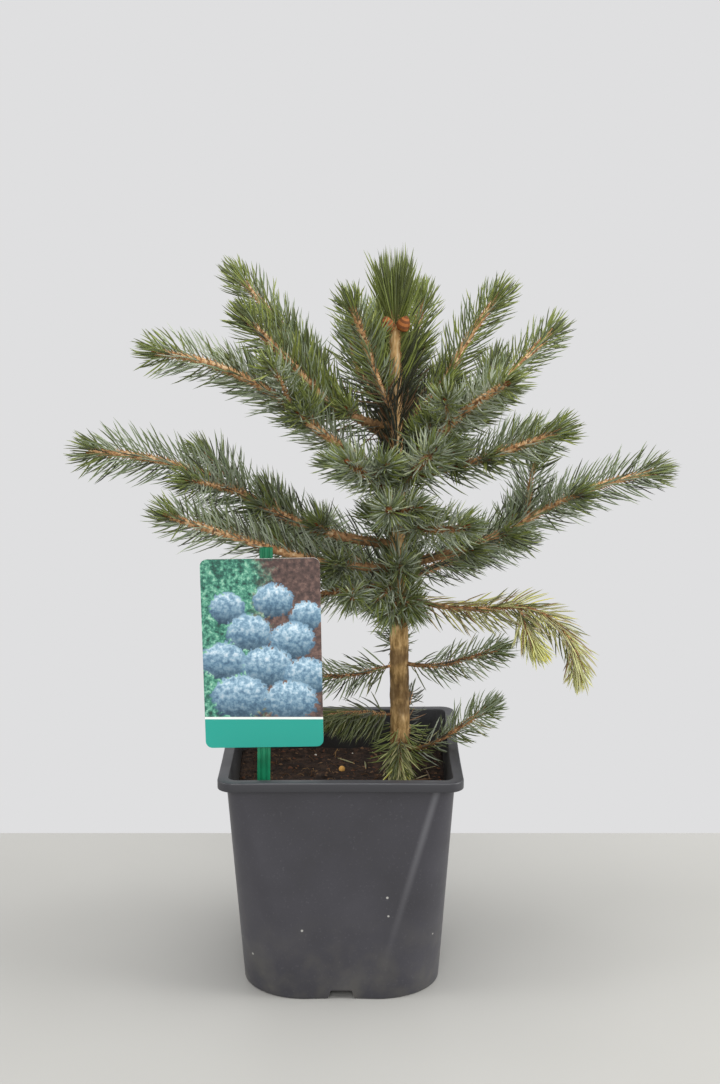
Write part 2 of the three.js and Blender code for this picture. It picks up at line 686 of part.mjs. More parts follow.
const trunkLine = [];
for (let i = 0; i <= TRUNK_RODS; i += 1) {
  trunkLine.push(trunkAt(lerp(SOIL_TOP, TRUNK_TOP, i / TRUNK_RODS)));
}
const tipRadius = trunkRadius(TRUNK_TOP);
addRods('trunk', trunkLine, FLARE_RADIUS, tipRadius);
const tipStem = core([trunkAt(TRUNK_TOP + GAP), trunkAt(BUD_Z), trunkAt(LEADER_TIP_Z)], tipRadius);
addRods('leader tip', tipStem.spine, tipRadius, tipRadius);

addNode('pot', potSolid(), GREY_PLASTIC);
addNode('soil', soilSolid(), PEAT);
addNode('trunk', TRUNK, BARK);
addNode('label_card', cardSolid(), CARD_PRINT);
addNode('label_stake', stakeSolid(0), GREEN_PLASTIC);

for (const { shoot, random, stems, rootRadius, bough } of crowns) {
  const name = `needles_${shoot.name}`;
  if (bough) {
    const wood = limb(bough, rootRadius, BOUGH_TIP_RADIUS, BOUGH_SIDES).subtract(TRUNK_SPACE);
    addNode(`bough_${shoot.name}`, wood, YOUNG_BARK);
  }
  const parts = stems.map(coreSolid);
  stems.forEach((stem, k) => {
    const habit = { length: NEEDLE_LENGTH, spacing: NEEDLE_STEP };
    parts.push(...needlesOn([`${shoot.name} ${k}`], stem, random, habit));
  });
  const mass = wasm.Manifold.union(parts).subtract(TRUNK_SPACE);
  addNode(name, mass, needleLook(shoot.name));
}

for (const { name, from, to, needle } of TRUNK_SLEEVES) {
  const owner = `needles_${name}`;
  const line = core([trunkAt(from), trunkAt((from + to) / 2), trunkAt(to)], trunkRadius(from));
  const parts = [trunkStretch(from, to, SLEEVE_WALL + GAP, SLEEVE_SIDES)];
  const habit = { length: needle + trunkRadius(from), spacing: SLEEVE_STEP };
  parts.push(...needlesOn([owner, 'trunk'], line, seeded(from), habit));
  addNode(owner, wasm.Manifold.union(parts).subtract(TRUNK_SPACE), BLUE_NEEDLES);
}

// The leader's tip, with its buds
const tipParts = [coreSolid(tipStem)];
for (const turn of BUD_TURNS) {
  const outward = new Vector3(Math.cos(radians(turn)), Math.sin(radians(turn)), 0);
  const bud = new THREE.SphereGeometry(BUD_RADIUS, BUD_SIDES, BUD_BANDS);
  bud.scale(1, BUD_LENGTH / (2 * BUD_RADIUS), 1);
  bud.rotateX(Math.PI / 2);
  const place = trunkAt(BUD_Z).addScaledVector(outward, BUD_OUT);
  bud.translate(place.x, place.y, place.z);
  tipParts.push(solidOf(bud));
}
const tipRandom = seeded(LEADER_TIP_Z);
for (let ring = 0; ring < LEADER_RINGS; ring += 1) {
  const part = ring / (LEADER_RINGS - 1);
  const root = trunkAt(lerp(TRUNK_TOP + LEADER_FOOT, LEADER_TIP_Z - SHOOT_POINT, part));
  const lean = lerp(LEADER_LEAN, LEAST_LEAN, part);
  for (let k = 0; k < LEADER_PER_RING; k += 1) {
    const turn = radians((k + ring / 2) * 360 / LEADER_PER_RING + scatter(tipRandom, SCATTER));
    const slant = radians(Math.max(LEAST_LEAN, lean + scatter(tipRandom, SCATTER)));
    const outward = new Vector3(Math.cos(turn), Math.sin(turn), 0).multiplyScalar(Math.sin(slant));
    const direction = outward.setZ(Math.cos(slant));
    const reach = LEADER_NEEDLE_LENGTH * (1 + scatter(tipRandom, LENGTH_SCATTER));
    const rod = needleRod(root, direction, reach, UP);
    if (isClear(['leader tip', 'trunk'], rod)) {
      tipParts.push(needleSolid(rod));
    }
  }
}
addNode('needles_leader_tip', wasm.Manifold.union(tipParts).subtract(TRUNK_SPACE), FRESH_NEEDLES);

export default plant;
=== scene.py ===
"""A young blue spruce in a square nursery pot, with its plant label.

The growth is worked out in millimetres by the same rule as the solids, and each mesh is made in
metres: +Z up, +X to the right, -Y the front.
"""

import math
from functools import partial

import bmesh
import bpy
import numpy as np
from mathutils import Matrix, Vector, noise


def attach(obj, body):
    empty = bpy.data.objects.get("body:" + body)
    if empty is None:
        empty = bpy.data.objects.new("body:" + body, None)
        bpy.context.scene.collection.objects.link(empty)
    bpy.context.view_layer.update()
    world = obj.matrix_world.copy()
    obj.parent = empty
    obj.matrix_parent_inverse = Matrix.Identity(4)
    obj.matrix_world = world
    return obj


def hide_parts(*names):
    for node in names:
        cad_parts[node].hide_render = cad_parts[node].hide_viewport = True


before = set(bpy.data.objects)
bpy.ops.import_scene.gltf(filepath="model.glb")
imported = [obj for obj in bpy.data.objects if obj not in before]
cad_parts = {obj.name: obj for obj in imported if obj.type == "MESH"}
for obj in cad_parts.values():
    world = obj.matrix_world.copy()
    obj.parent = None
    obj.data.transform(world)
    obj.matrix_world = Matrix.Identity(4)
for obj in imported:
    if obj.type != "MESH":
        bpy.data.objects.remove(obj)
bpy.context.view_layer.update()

MM = 0.001
UP = Vector((0, 0, 1))

# Seeds of what is dealt out by chance. Each shoot's own seed is its place in the table
LITTER_SEED = 41
SHORT_SHOOTS_SEED = 77
TRUNK_NEEDLES_SEED = 5

# Pot
POT_HEIGHT = 138
FOOT_HALF = 58
FOOT_CORNER = 37
FOOT_BEVEL = 1.2
BODY_HALF = 65
BODY_CORNER = 8
RIM_HALF = 70
RIM_CORNER = 9
RIM_UNDER = 132.5
RIM_ROUND = 0.9
WALL = 1.5
PANEL_DISH = 0.8
CORNER_POINTS = 12
FLAT_POINTS = 8
WALL_LEVELS = 12
EDGE_STEPS = 4
SHARP_ANGLE = 38
DRAIN_FOOT_WIDTH = 16.3
DRAIN_TOP_WIDTH = 12.4
DRAIN_HEIGHT = 5.5
DRAIN_ROUND = 0.8
DRAIN_INNER_END = 30
CUT_PAST = 1
CREASE_IN = 2
CREASE_HALF_WIDTH = 3.2
# Up to here the pot's inside has painted shade and a film of peat
SHADED_SOILED_TOP = 137.8

# Peat. Its lumps, like all roughness here, are layers of noise: depth and grain
SOIL_TOP = 113
SOIL_GAP = 0.3
SOIL_CELLS = 96
PEAT_LEVELS = (SOIL_TOP, 108, 60, 8)
PEAT_LUMPS = [(1.6, 17), (1, 6.5), (0.6, 2.3)]
HEAP_HEIGHT = 2.2
HEAP_WIDTH = 15

# What lies on the peat: how many, their least size and how much larger they get
CRUMBS = (900, 0.5, 1.7)
FIBRES = (110, 4, 8)
FALLEN_NEEDLES = (26, 11, 6)
PERLITE_BITS = (14, 0.5, 0.5)
# Proportions. Of crumbs the middle one varies, and large ones are rarer by the power
CRUMB_SIDES = (1, 0.8, 0.7)
CRUMB_VARIES = 0.2
CRUMB_POWER = 2.2
PERLITE_SIDES = (1, 0.9, 0.8)
FALLEN_SIDES = (0.5, 0.4)
# How far crumbs (as a share of their size) and perlite are sunk in
CRUMB_SUNK = 0.3
PERLITE_SUNK = 0.1
# How long things lie: how far they tilt at most, in degrees, and their height over the peat
FIBRES_LIE = (8, 0.5)
NEEDLES_LIE = (5, 0.9)
CRUMB_TONES = ["crumb_black", "crumb_brown", "crumb_brown", "crumb_red", "crumb_dry"]
FALLEN_TONES = ["straw", "brown", "olive"]
PALE_FIBRES_FROM = 0.7
LITTER_CORNER = 50
PELLET = (0, 20)
PELLET_RADIUS = 1.9

# Trunk
TRUNK_FOOT = (35.5, 8)
TRUNK_TIP = (31, 8)
TRUNK_TOP = 384
FLARE_RADIUS = 7.6
FLARE_HEIGHT = 9
TRUNK_RADII = [(0, 5.9), (90, 5.5), (150, 4.6), (220, 3.5), (275, 2.7)]
TRUNK_SIDES = 26
TRUNK_STEP = 1.1
TRUNK_START = 110
TRUNK_RIDGES = [(0.42, 2.3), (0.25, 1.1)]
RIDGE_STRETCH = 0.35
KNOT_DEPTH = 0.5
KNOT_GRAIN = 7
LEADER_TIP_Z = 403
LEADER_ROUNDING = 3
LEADER_BLUNTNESS = 0.3
LEADER_BUD_Z = 388.5
LEADER_BUD_WIDTH = 8.6
LEADER_BUD_LENGTH = 10
LEADER_BUD_LEAN = 0.5
# Compass angle of each bud, and how far out it is from the leader's middle
LEADER_BUDS = [(-49, 7.8), (240, 8.8), (85, 5)]

# Plant label
CARD_WIDTH = 67.5
CARD_HEIGHT = 111.5
CARD_THICK = 0.8
CARD_CORNER = 4
CARD_FOOT_Z = 151
CARD_X = -43.6
CARD_FRONT_Y = -45
CARD_LEAN = -0.9
CARD_ROOM = 2
STAKE_WIDTH = 7.5
STAKE_THICK = 2.2
STAKE_ROUND = 0.4
STAKE_FOOT_Z = 85
STAKE_TOP_Z = 268.5
STAKE_X = -45.5
STAKE_LEAN = 1.2
STAKE_GROOVE = 1.5
GAP = 0.3

# Growth
PATH_STEP = 1.5
ROOM = 0.5
BOUGH_TIP_RADIUS = 1.9
BOUGH_SWELL = 0.006
BOUGH_SIDES = 12
BOUGH_RIDGE = 0.3
BOUGH_THINNING = 2.2
SHOOT_TIP_RADIUS = 1.85
THIN_ROOT_RADIUS = 1.45
TWIG_RADIUS = 1.25
TWIG_TAPER = 0.8
TWIG_LEVELLING = 0.6
TWIG_SCATTER = 4.5
STEM_SIDES = 8
STEM_RIDGE = 0.16
STEM_TAPER = 0.6
STEM_BARK = [(1, 1.7), (0.6, 0.8)]
STEM_MOTTLE = [(0.9, 2.1), (0.35, 0.9)]
STEM_TONES = {
    "sunlit": "umber russet ochre ochre tan",
    "mixed": "bistre umber umber russet ochre",
    "shaded": "bistre bistre umber umber russet",
}
STEM_LIGHT = {"blue": "sunlit", "fresh_tipped": "sunlit", "fresh": "sunlit", "dull": "mixed",
              "yellowing": "mixed", "shaded": "mixed"}
GOLDEN_TURN = 137.508
FIRST_NEEDLE = 8
FIRST_TWIG_NEEDLE = 3
BUD_WIDTHS = (2.1, 2.8)
BUD_SLIMNESS = 1.7
BUD_SUNK = 1.2

# Weak shoots are slimmer and end without a bud
SLIM_HABITS = ("shaded", "old", "sparse", "drooping", "yellowing")
SLIM_GIRTH = 0.6

# Small twigs between the root and the middle of long bushy shoots fill the crown's heart. A turn
# and a lift are a middle and a spread, and a length is the least and how much longer it gets
BUSHY_HABITS = ("blue", "dull", "fresh_tipped", "fresh")
BUSHY_LENGTH = 70
SMALL_TWIG_STEP = 40
SMALL_TWIGS_FROM = 0.2
SMALL_TWIGS_TO = 0.5
SMALL_TWIG_TURN = (50, 14)
SMALL_TWIG_LIFT = (8, 24)
SMALL_TWIG_LENGTH = (12, 10)

# Short shoots on the trunk, round it by the golden turn. Their length and their rise are a least
# value and how much more it gets
SHORT_SHOOTS = 8
SHORT_SHOOTS_FROM = 205
SHORT_SHOOTS_TO = 305
SHORT_LENGTH = (12, 14)
SHORT_RISE = (25, 45)
# Short shoots of the lower whorl, over the trunk's front: root height, angle, length and rise
LOW_SHORTS = [(235, -128, 24, -16), (228, -56, 17, -26), (229, 168, 24, -12), (225, -112, 17, -22)]

# Which piece a shoot's needles are in, by how its name starts, and that piece's slot
NEEDLE_KINDS = [
    ("foot", "olive"), ("yellow", "yellow"), ("top", "fresh"), ("low", "low"), ("label", "low"),
    ("high", "high"), ("", "wide"),
]
NEEDLE_SLOTS = {
    "olive": "needles_olive", "yellow": "needles_yellow", "fresh": "needles_fresh",
    "low": "needles_blue", "wide": "needles_blue", "high": "needles_blue",
}

# Needles straight on the trunk: the node that they stand for, from and to heights, habit and piece
TRUNK_NEEDLES = [
    ("", 126, 147, "withered", "olive"),
    ("needles_trunk_low", 208, 246, "trunk", "low"),
    ("", 236, 302, "open_trunk", "wide"),
    ("", 302, 348, "core", "high"),
    ("needles_leader", 346, 384, "leader", "high"),
    ("needles_leader_tip", 384, 402, "leader_tip", "fresh"),
]

# Stage. The table's back edge is where the photograph's horizon lies. A light has a name, a
# place and a width in metres, and a power
TABLE_WIDTH = 6000
TABLE_DEPTH = 3000
TABLE_THICK = 40
TABLE_BACK = 204
BACKDROP = "#dfdfe0"
LIGHTS = [
    ("top_light", (0.1, -0.1, 2.2), 1.4, 26),
    ("right_light", (1.4, -0.3, 0.8), 0.9, 18),
    ("left_light", (-1.5, -0.4, 0.8), 0.7, 8),
    ("front_light", (-0.1, -2.9, 1.6), 1.6, 36),
]
LIT_MIDDLE = Vector((0.02, 0, 0.22))
CAMERA_PLACE = (0.011, -1.189, 0.5512)
CAMERA_TILT = 13.709
LENS = 69.84
SENSOR_WIDTH = 36

# Every shoot: height of its root on the trunk, compass angle (0 right, 90 back), length along
# the shoot, rise in degrees at root, middle and tip, swing of the angle from root to tip,
# length of its bough, side twigs [place along it 0 to 1, turn to the side, turn upwards, length]
# and the habit of its needles.
SHOOTS = [
    ("foot_right", 131, -14, 64, (5, 38, 40), 0, 22, [], "shaded"),
    ("foot_left", 152, 184, 43, (12, 3, -5), 0, 0, [], "old"),
    ("foot_front", 141, -92, 36, (-12, -42, -66), 0, 0, [], "drooping"),
    ("foot_back", 140, 80, 45, (10, 20, 20), 0, 0, [], "sparse"),
    ("low_right", 186, -23, 66, (-9, 20, 24), 0, 18, [], "shaded"),
    ("low_left", 185, 198, 60, (-11, -6, 30), 0, 0, [], "shaded"),
    ("low_back", 192, 95, 66, (-5, 20, 25), 0, 0, [], "shaded"),
    ("yellow_right", 227, -17, 131, (-15, 12, -92), 6, 30, [(0.56, -46, -42, 30)], "yellowing"),
    ("label_left", 233, 212, 74, (7, 0, -4), 0, 0, [], "dull"),
    ("low_back_left", 224, 106, 92, (-6, 6, 12), 0, 24, [(0.5, 45, 10, 28)], "shaded"),
    ("wide_left", 258, 188, 190, (6, 34, 0), -15, 38,
     [(0.52, 42, -12, 46), (0.5, -40, 5, 40)], "blue"),
    ("wide_right", 246, 5, 162, (6, 31, 8), 0, 34,
     [(0.5, 20, 55, 40), (0.55, -45, 0, 34)], "blue"),
    ("front_left", 244, -150, 156, (5, 22, 23), 0, 34, [(0.55, -40, 5, 34)], "blue"),
    ("front_right", 265, -57, 72, (18, 10, 18), 0, 0, [], "dull"),
    ("front", 276, -96, 60, (14, 16, 14), 0, 0, [(0.55, 48, 0, 24)], "dull"),
    ("back_right", 236, 52, 128, (0, 7, 2), 5, 34,
     [(0.52, -45, 5, 36), (0.55, 42, 0, 34)], "blue"),
    ("back_left", 239, 129, 132, (0, 8, 2), -6, 34,
     [(0.5, 44, 0, 36), (0.54, -40, 5, 34)], "blue"),
    ("high_left", 298, -155, 170, (27, 41, 8), -20, 36,
     [(0.48, 38, 12, 40), (0.5, -42, -5, 42)], "fresh_tipped"),
    ("high_front_right", 306, -55, 118, (24, 38, 24), 0, 28,
     [(0.5, -40, 0, 34), (0.54, 40, 5, 32)], "fresh_tipped"),
    ("high_right", 297, -24, 106, (13, 21, 25), 0, 28, [(0.55, 38, 5, 30)], "fresh_tipped"),
    ("high_front", 288, -115, 75, (22, 26, 26), 0, 0,
     [(0.5, 45, 5, 28), (0.52, -45, 0, 26)], "dull"),
    ("high_front_low", 292, -74, 78, (24, 28, 28), 0, 0, [(0.5, 42, 5, 28)], "dull"),
    ("high_back", 302, 84, 112, (18, 34, 22), 0, 28,
     [(0.5, 42, 5, 32), (0.54, -42, 0, 32)], "fresh_tipped"),
    ("top_back_left", 319, 150, 142, (19, 50, 39), 0, 30, [(0.52, 36, 5, 32)], "fresh"),
    ("top_left", 328, 204, 118, (6, 48, 43), 8, 28, [(0.5, -38, 5, 30)], "fresh"),
    ("top_front", 334, -131, 80, (49, 66, 59), 0, 0, [], "fresh"),
    ("top_back_left_upright", 334, 130, 66, (15, 45, 95), 0, 0, [], "fresh"),
    ("top_back_right_upright", 335, 65, 74, (49, 61, 68), 0, 0, [], "fresh"),
    ("top_right", 329, 12, 97, (24, 65, 46), 0, 24, [], "fresh"),
    ("top_back_right", 317, 31, 127, (4, 36, 36), 4, 28, [(0.52, 38, 5, 30)], "fresh"),
    ("top_back", 322, 98, 96, (20, 50, 45), 0, 0, [(0.5, -38, 5, 26)], "fresh"),
]


def lerp(a, b, part):
    return a + (b - a) * part


def clamp(value, low=0.0, high=1.0):
    return min(max(value, low), high)


def seeded(seed):
    """The same seed always gives the same numbers from 0 to 1."""
    state = seed & 0xFFFFFFFF

    def draw():
        nonlocal state
        state = (state + 0x6D2B79F5) & 0xFFFFFFFF
        mixed = ((state ^ (state >> 15)) * (state | 1)) & 0xFFFFFFFF
        more = ((mixed ^ (mixed >> 7)) * (mixed | 61)) & 0xFFFFFFFF
        mixed ^= (mixed + more) & 0xFFFFFFFF
        return (mixed ^ (mixed >> 14)) / 4294967296

    return draw


def scatter(random, amount):
    return (random() * 2 - 1) * amount


def pick(random, items):
    return items[int(random() * len(items))]


def compass(degrees):
    """The level direction of a compass angle."""
    angle = math.radians(degrees)
    return Vector((math.cos(angle), math.sin(angle), 0))


def roughness_at(point, layers, start=0):
    """Layers of noise at a point, each with its depth and grain, on top of a start."""
    return sum((depth * noise.noise(point / grain) for depth, grain in layers), start)


# Materials


def linear(hex_colour):
    """An sRGB hex colour as linear red, green, blue and alpha."""
    parts = [int(hex_colour[i:i + 2], 16) / 255 for i in (1, 3, 5)]
    return tuple(c / 12.92 if c <= 0.04045 else ((c + 0.055) / 1.055) ** 2.4 for c in parts) + (1,)


def wire(node, values):
    """Gives a node its attributes, socket values, a ramp's stops, a range's span, and its links.

    A hex colour is turned to linear, and a link from a node takes its first working output.
    """
    for key, value in values.items():
        if key == "stops":
            elements = node.color_ramp.elements
            while len(elements) < len(value):
                elements.new(0.5)
            for element, (spot, colour) in zip(elements, value):
                element.position = spot
                element.color = linear(colour)
        elif key == "span":
            for socket, number in zip(node.inputs[1:], value):
                socket.default_value = number
        elif isinstance(value, bpy.types.bpy_struct):
            source = next(socket for socket in getattr(value, "outputs", [value]) if socket.enabled)
            node.id_data.links.new(source, node.inputs[key])
        elif isinstance(key, str) and hasattr(node, key):
            setattr(node, key, value)
        else:
            node.inputs[key].default_value = linear(value) if isinstance(value, str) else value


NOISE, VORONOI, RAMP = "ShaderNodeTexNoise", "ShaderNodeTexVoronoi", "ShaderNodeValToRGB"
MIX, MATHS, RANGE, BUMP = "ShaderNodeMix", "ShaderNodeMath", "ShaderNodeMapRange", "ShaderNodeBump"
MAPPING, SPLIT, VECTORS = "ShaderNodeMapping", "ShaderNodeSeparateXYZ", "ShaderNodeVectorMath"


def add_node(tree, kind, values=()):
    """A node of a kind with its settings and links.

    Mix nodes mix colours, and Math nodes multiply, and add a third value where there is one. What
    reads a place reads the object's own coordinates, in metres, unless it is given others.
    """
    values = dict(values)
    node = tree.nodes.new(kind)
    if kind == MIX:
        node.data_type = "RGBA"
    if kind == MATHS:
        node.operation = "MULTIPLY_ADD" if 2 in values else "MULTIPLY"
    if kind in (NOISE, VORONOI, MAPPING, SPLIT) and "Vector" not in values:
        place = tree.nodes.get("Texture Coordinate") or tree.nodes.new("ShaderNodeTexCoord")
        values["Vector"] = place.outputs["Object"]
    wire(node, values)
    return node


def start_material(name, colour, roughness, plain=()):
    """A material with plain values on its shader's own sockets, and what adds nodes to it."""
    material = bpy.data.materials.new(name)
    material.use_nodes = True
    material.diffuse_color = linear(colour)
    finish_material(material, {"Base Color": colour, "Roughness": roughness, **dict(plain)})
    return material, partial(add_node, material.node_tree)


def finish_material(material, values):
    """The material, with values or links on its shader."""
    wire(material.node_tree.nodes["Principled BSDF"], values)
    return material


def per_mm(grain):
    """The scale of a texture whose grains are this many millimetres across."""
    return 1 / (grain * MM)


def pot_plastic():
    """Recycled polypropylene, injection moulded: dark grey and silky, with pale specks of dust,
    short scuffs, a painted highlight along the crease where each panel ends, painted shade on the
    rim, and soil splashed on its foot."""
    material, add = start_material("moulded_recycled_polypropylene", "#39393e", 0.42)
    x, _, height = add(SPLIT).outputs
    clouds = add(NOISE, {"Scale": per_mm(38), "Detail": 4})
    grain = add(NOISE, {"Scale": per_mm(1.4), "Detail": 2})
    flecks = add(RANGE, {"Value": grain, "span": (0.62, 0.8, 0, 0.8)})
    upright = add(MAPPING, {"Scale": (1, 1, 0.15)})
    scuffs = add(NOISE, {"Scale": per_mm(5), "Detail": 5, "Roughness": 0.7, "Vector": upright})
    scuffs = add(RANGE, {"Value": scuffs, "span": (0.68, 0.78, 0, 0.25)})
    spots = add(VORONOI, {"Scale": per_mm(12)})
    dots = add(RANGE, {"Value": spots, "span": (0.075, 0.045)})
    chosen = add(RANGE, {"Value": spots.outputs["Color"], "span": (0.6, 0.62, 0, 0.8)})
    dots = add(MATHS, {0: dots, 1: chosen})
    low = add(RANGE, {"Value": height, "span": (0.055, 0, 0, 0.5)})
    splashes = add(NOISE, {"Scale": per_mm(15), "Detail": 5})
    splashes = add(RANGE, {"Value": splashes, "span": (0.42, 0.68)})
    soiled = add(MATHS, {0: low, 1: splashes})
    # A painted highlight runs along the crease, where the panel ends and the corner's curve begins,
    # further in towards the foot
    drift = (BODY_HALF - BODY_CORNER - FOOT_HALF + FOOT_CORNER) / RIM_UNDER
    from_panel = add(MATHS, {0: height, 1: -drift, 2: x})
    middle = (FOOT_HALF - FOOT_CORNER - CREASE_IN) * MM
    masks = [add(RANGE, {"interpolation_type": "SMOOTHSTEP", "Value": from_panel,
                         "span": (middle + side * CREASE_HALF_WIDTH * MM, middle)})
             for side in (-1, 1)]
    fading = add(RANGE, {"Value": height, "span": (0.02, 0.11, 0, 0.3)})
    wall = add(RANGE, {"Value": height, "span": (RIM_UNDER * MM, (RIM_UNDER - 2) * MM)})
    crease_highlight = masks[0]
    for mask in (masks[1], fading, wall):
        crease_highlight = add(MATHS, {0: crease_highlight, 1: mask})
    body = add(RAMP, {"stops": [(0.3, "#313035"), (0.55, "#37363c"), (0.75, "#3d3c42")],
                      "Fac": clouds})
    # The last mask is the painted crease highlight, lighter higher up and stopped under the rim
    for mask, colour in ((flecks, "#4a4a4f"), (scuffs, "#66666a"), (dots, "#bdbcb6"),
                         (soiled, "#59574f"), (crease_highlight, "#86868a")):
        body = add(MIX, {0: mask, 6: body, 7: colour})
    # Painted shade: the rim is darker than the wall below it
    body = add(MIX, {0: wall, 6: "#2f2f33", 7: body})
    worn = add(NOISE, {"Scale": per_mm(9), "Detail": 3})
    ripple = add(NOISE, {"Scale": per_mm(16), "Detail": 2})
    relief = add(MATHS, {0: grain, 1: 0.25, 2: ripple})
    return finish_material(material, {
        "Base Color": body, "Roughness": add(RANGE, {"Value": worn, "span": (0, 1, 0.3, 0.52)}),
        "Normal": add(BUMP, {"Strength": 0.6, "Distance": 0.15 * MM, "Height": relief})})


def shaded_soiled_plastic():
    """The pot's inside: the same plastic painted near black, which is painted shade, and dulled by a
    film of peat that thickens towards the bed.
    """
    material, add = start_material("peat_stained_polypropylene", "#2a2a2b", 0.7)
    film = add(NOISE, {"Scale": per_mm(4), "Detail": 5, "Roughness": 0.7})
    low = add(RANGE, {"Value": add(SPLIT).outputs["Z"], "span": (0.135, 0.112)})
    thick = add(MATHS, {0: film, 1: low})
    # The near-black grey is painted shade; the browner tones are the peat film
    body = add(RAMP, {"stops": [(0.1, "#1f1f21"), (0.45, "#1a1714"), (0.6, "#140f0c")],
                      "Fac": thick})
    return finish_material(material, {
        "Base Color": body, "Normal": add(BUMP, {"Distance": 0.3 * MM, "Height": film})})


def peat():
    """Moist peat: nearly black, with brown fibre and paler dry grains."""
    material, add = start_material("moist_peat", "#2b1f18", 0.95, {"Specular IOR Level": 0.25})
    clods = add(NOISE, {"Scale": per_mm(6), "Detail": 6, "Roughness": 0.7})
    body = add(RAMP, {"stops": [(0.3, "#1a1411"), (0.5, "#30251f"), (0.66, "#4a382c"),
                                (0.8, "#69503c")], "Fac": clods})
    grains = add(NOISE, {"Scale": per_mm(1.3), "Detail": 3})
    dry = add(RANGE, {"Value": grains, "span": (0.64, 0.74, 0, 0.6)})
    return finish_material(material, {
        "Base Color": add(MIX, {0: dry, 6: body, 7: "#7a5b40"}),
        "Normal": add(BUMP, {"Distance": 0.8 * MM, "Height": grains})})


def trunk_bark():
    """Bark of a young stem: tan and brown ridges over grey-brown furrows, and paler in the crown,
    where it is younger."""
    material, add = start_material("ridged_stem_bark", "#8a6a3e", 0.85, {"Specular IOR Level": 0.3})
    along = add(MAPPING, {"Scale": (1, 1, 0.3)})
    ridges = add(NOISE, {"Scale": per_mm(3.2), "Detail": 6, "Roughness": 0.65, "Vector": along})
    old = add(RAMP, {"stops": [(0.28, "#533d22"), (0.44, "#866a3f"), (0.57, "#b19161"),
                               (0.74, "#d6b98a")], "Fac": ridges})
    fine = add(NOISE, {"Scale": per_mm(1.6), "Detail": 4, "Vector": along})
    young = add(RAMP, {"stops": [(0.3, "#a87f50"), (0.5, "#d3ac76"), (0.72, "#e8cda2")],
                       "Fac": fine})
    stains = add(NOISE, {"Scale": per_mm(15), "Detail": 3})
    stains = add(RANGE, {"Value": stains, "span": (0.46, 0.6, 0, 0.7)})
    old = add(MIX, {0: stains, 6: old, 7: "#4d3821"})
    higher = add(RANGE, {"Value": add(SPLIT).outputs["Z"], "span": (0.228, 0.262)})
    return finish_material(material, {
        "Base Color": add(MIX, {0: higher, 6: old, 7: young}),
        "Normal": add(BUMP, {"Distance": 0.5 * MM, "Height": fine})})


def bough_bark():
    """Bark of last year's boughs: tan, finely ridged, and browner near the trunk: painted shade of the
    crown.
    """
    material, add = start_material("young_bough_bark", "#b0773f", 0.8, {"Specular IOR Level": 0.3})
    ridges = add(NOISE, {"Scale": per_mm(2.2), "Detail": 5, "Roughness": 0.65})
    light = add(RAMP, {"stops": [(0.3, "#71523a"), (0.48, "#a88058"), (0.62, "#c49c74"),
                                 (0.78, "#dcbf9b")], "Fac": ridges})
    painted_shade_bark = add(RAMP, {"stops": [(0.3, "#3a2b1c"), (0.5, "#6e5234"), (0.75, "#a07d50")],
                      "Fac": ridges})
    # Painted shade: the bark is darkest near the trunk and turns to its own tan 18 to 42 mm out
    from_trunk = add(MAPPING, {"Scale": (1, 1, 0),
                               "Location": (-TRUNK_FOOT[0] * MM, -TRUNK_FOOT[1] * MM, 0)})
    reach = add(VECTORS, {"operation": "LENGTH", 0: from_trunk})
    outer = add(RANGE, {"Value": reach.outputs["Value"], "span": (0.018, 0.042)})
    return finish_material(material, {
        "Base Color": add(MIX, {0: outer, 6: painted_shade_bark, 7: light}),
        "Normal": add(BUMP, {"Distance": 0.35 * MM, "Height": ridges})})


# The print's cushions, back to front: middle and half size, as shares of the card's width and height
PRINT_CUSHIONS = [
    (-0.3, 0.74, 0.15, 0.085), (0.08, 0.78, 0.17, 0.09), (0.36, 0.7, 0.14, 0.08),
    (-0.12, 0.61, 0.19, 0.1), (0.24, 0.57, 0.19, 0.1), (-0.34, 0.46, 0.19, 0.1),
    (0.03, 0.43, 0.22, 0.11), (0.36, 0.38, 0.19, 0.1), (-0.2, 0.27, 0.24, 0.12),
    (0.22, 0.25, 0.23, 0.11),
]
PRINT_BAND = 0.15
PRINT_LINE = 0.012
PRINT_BLUR = 0.002


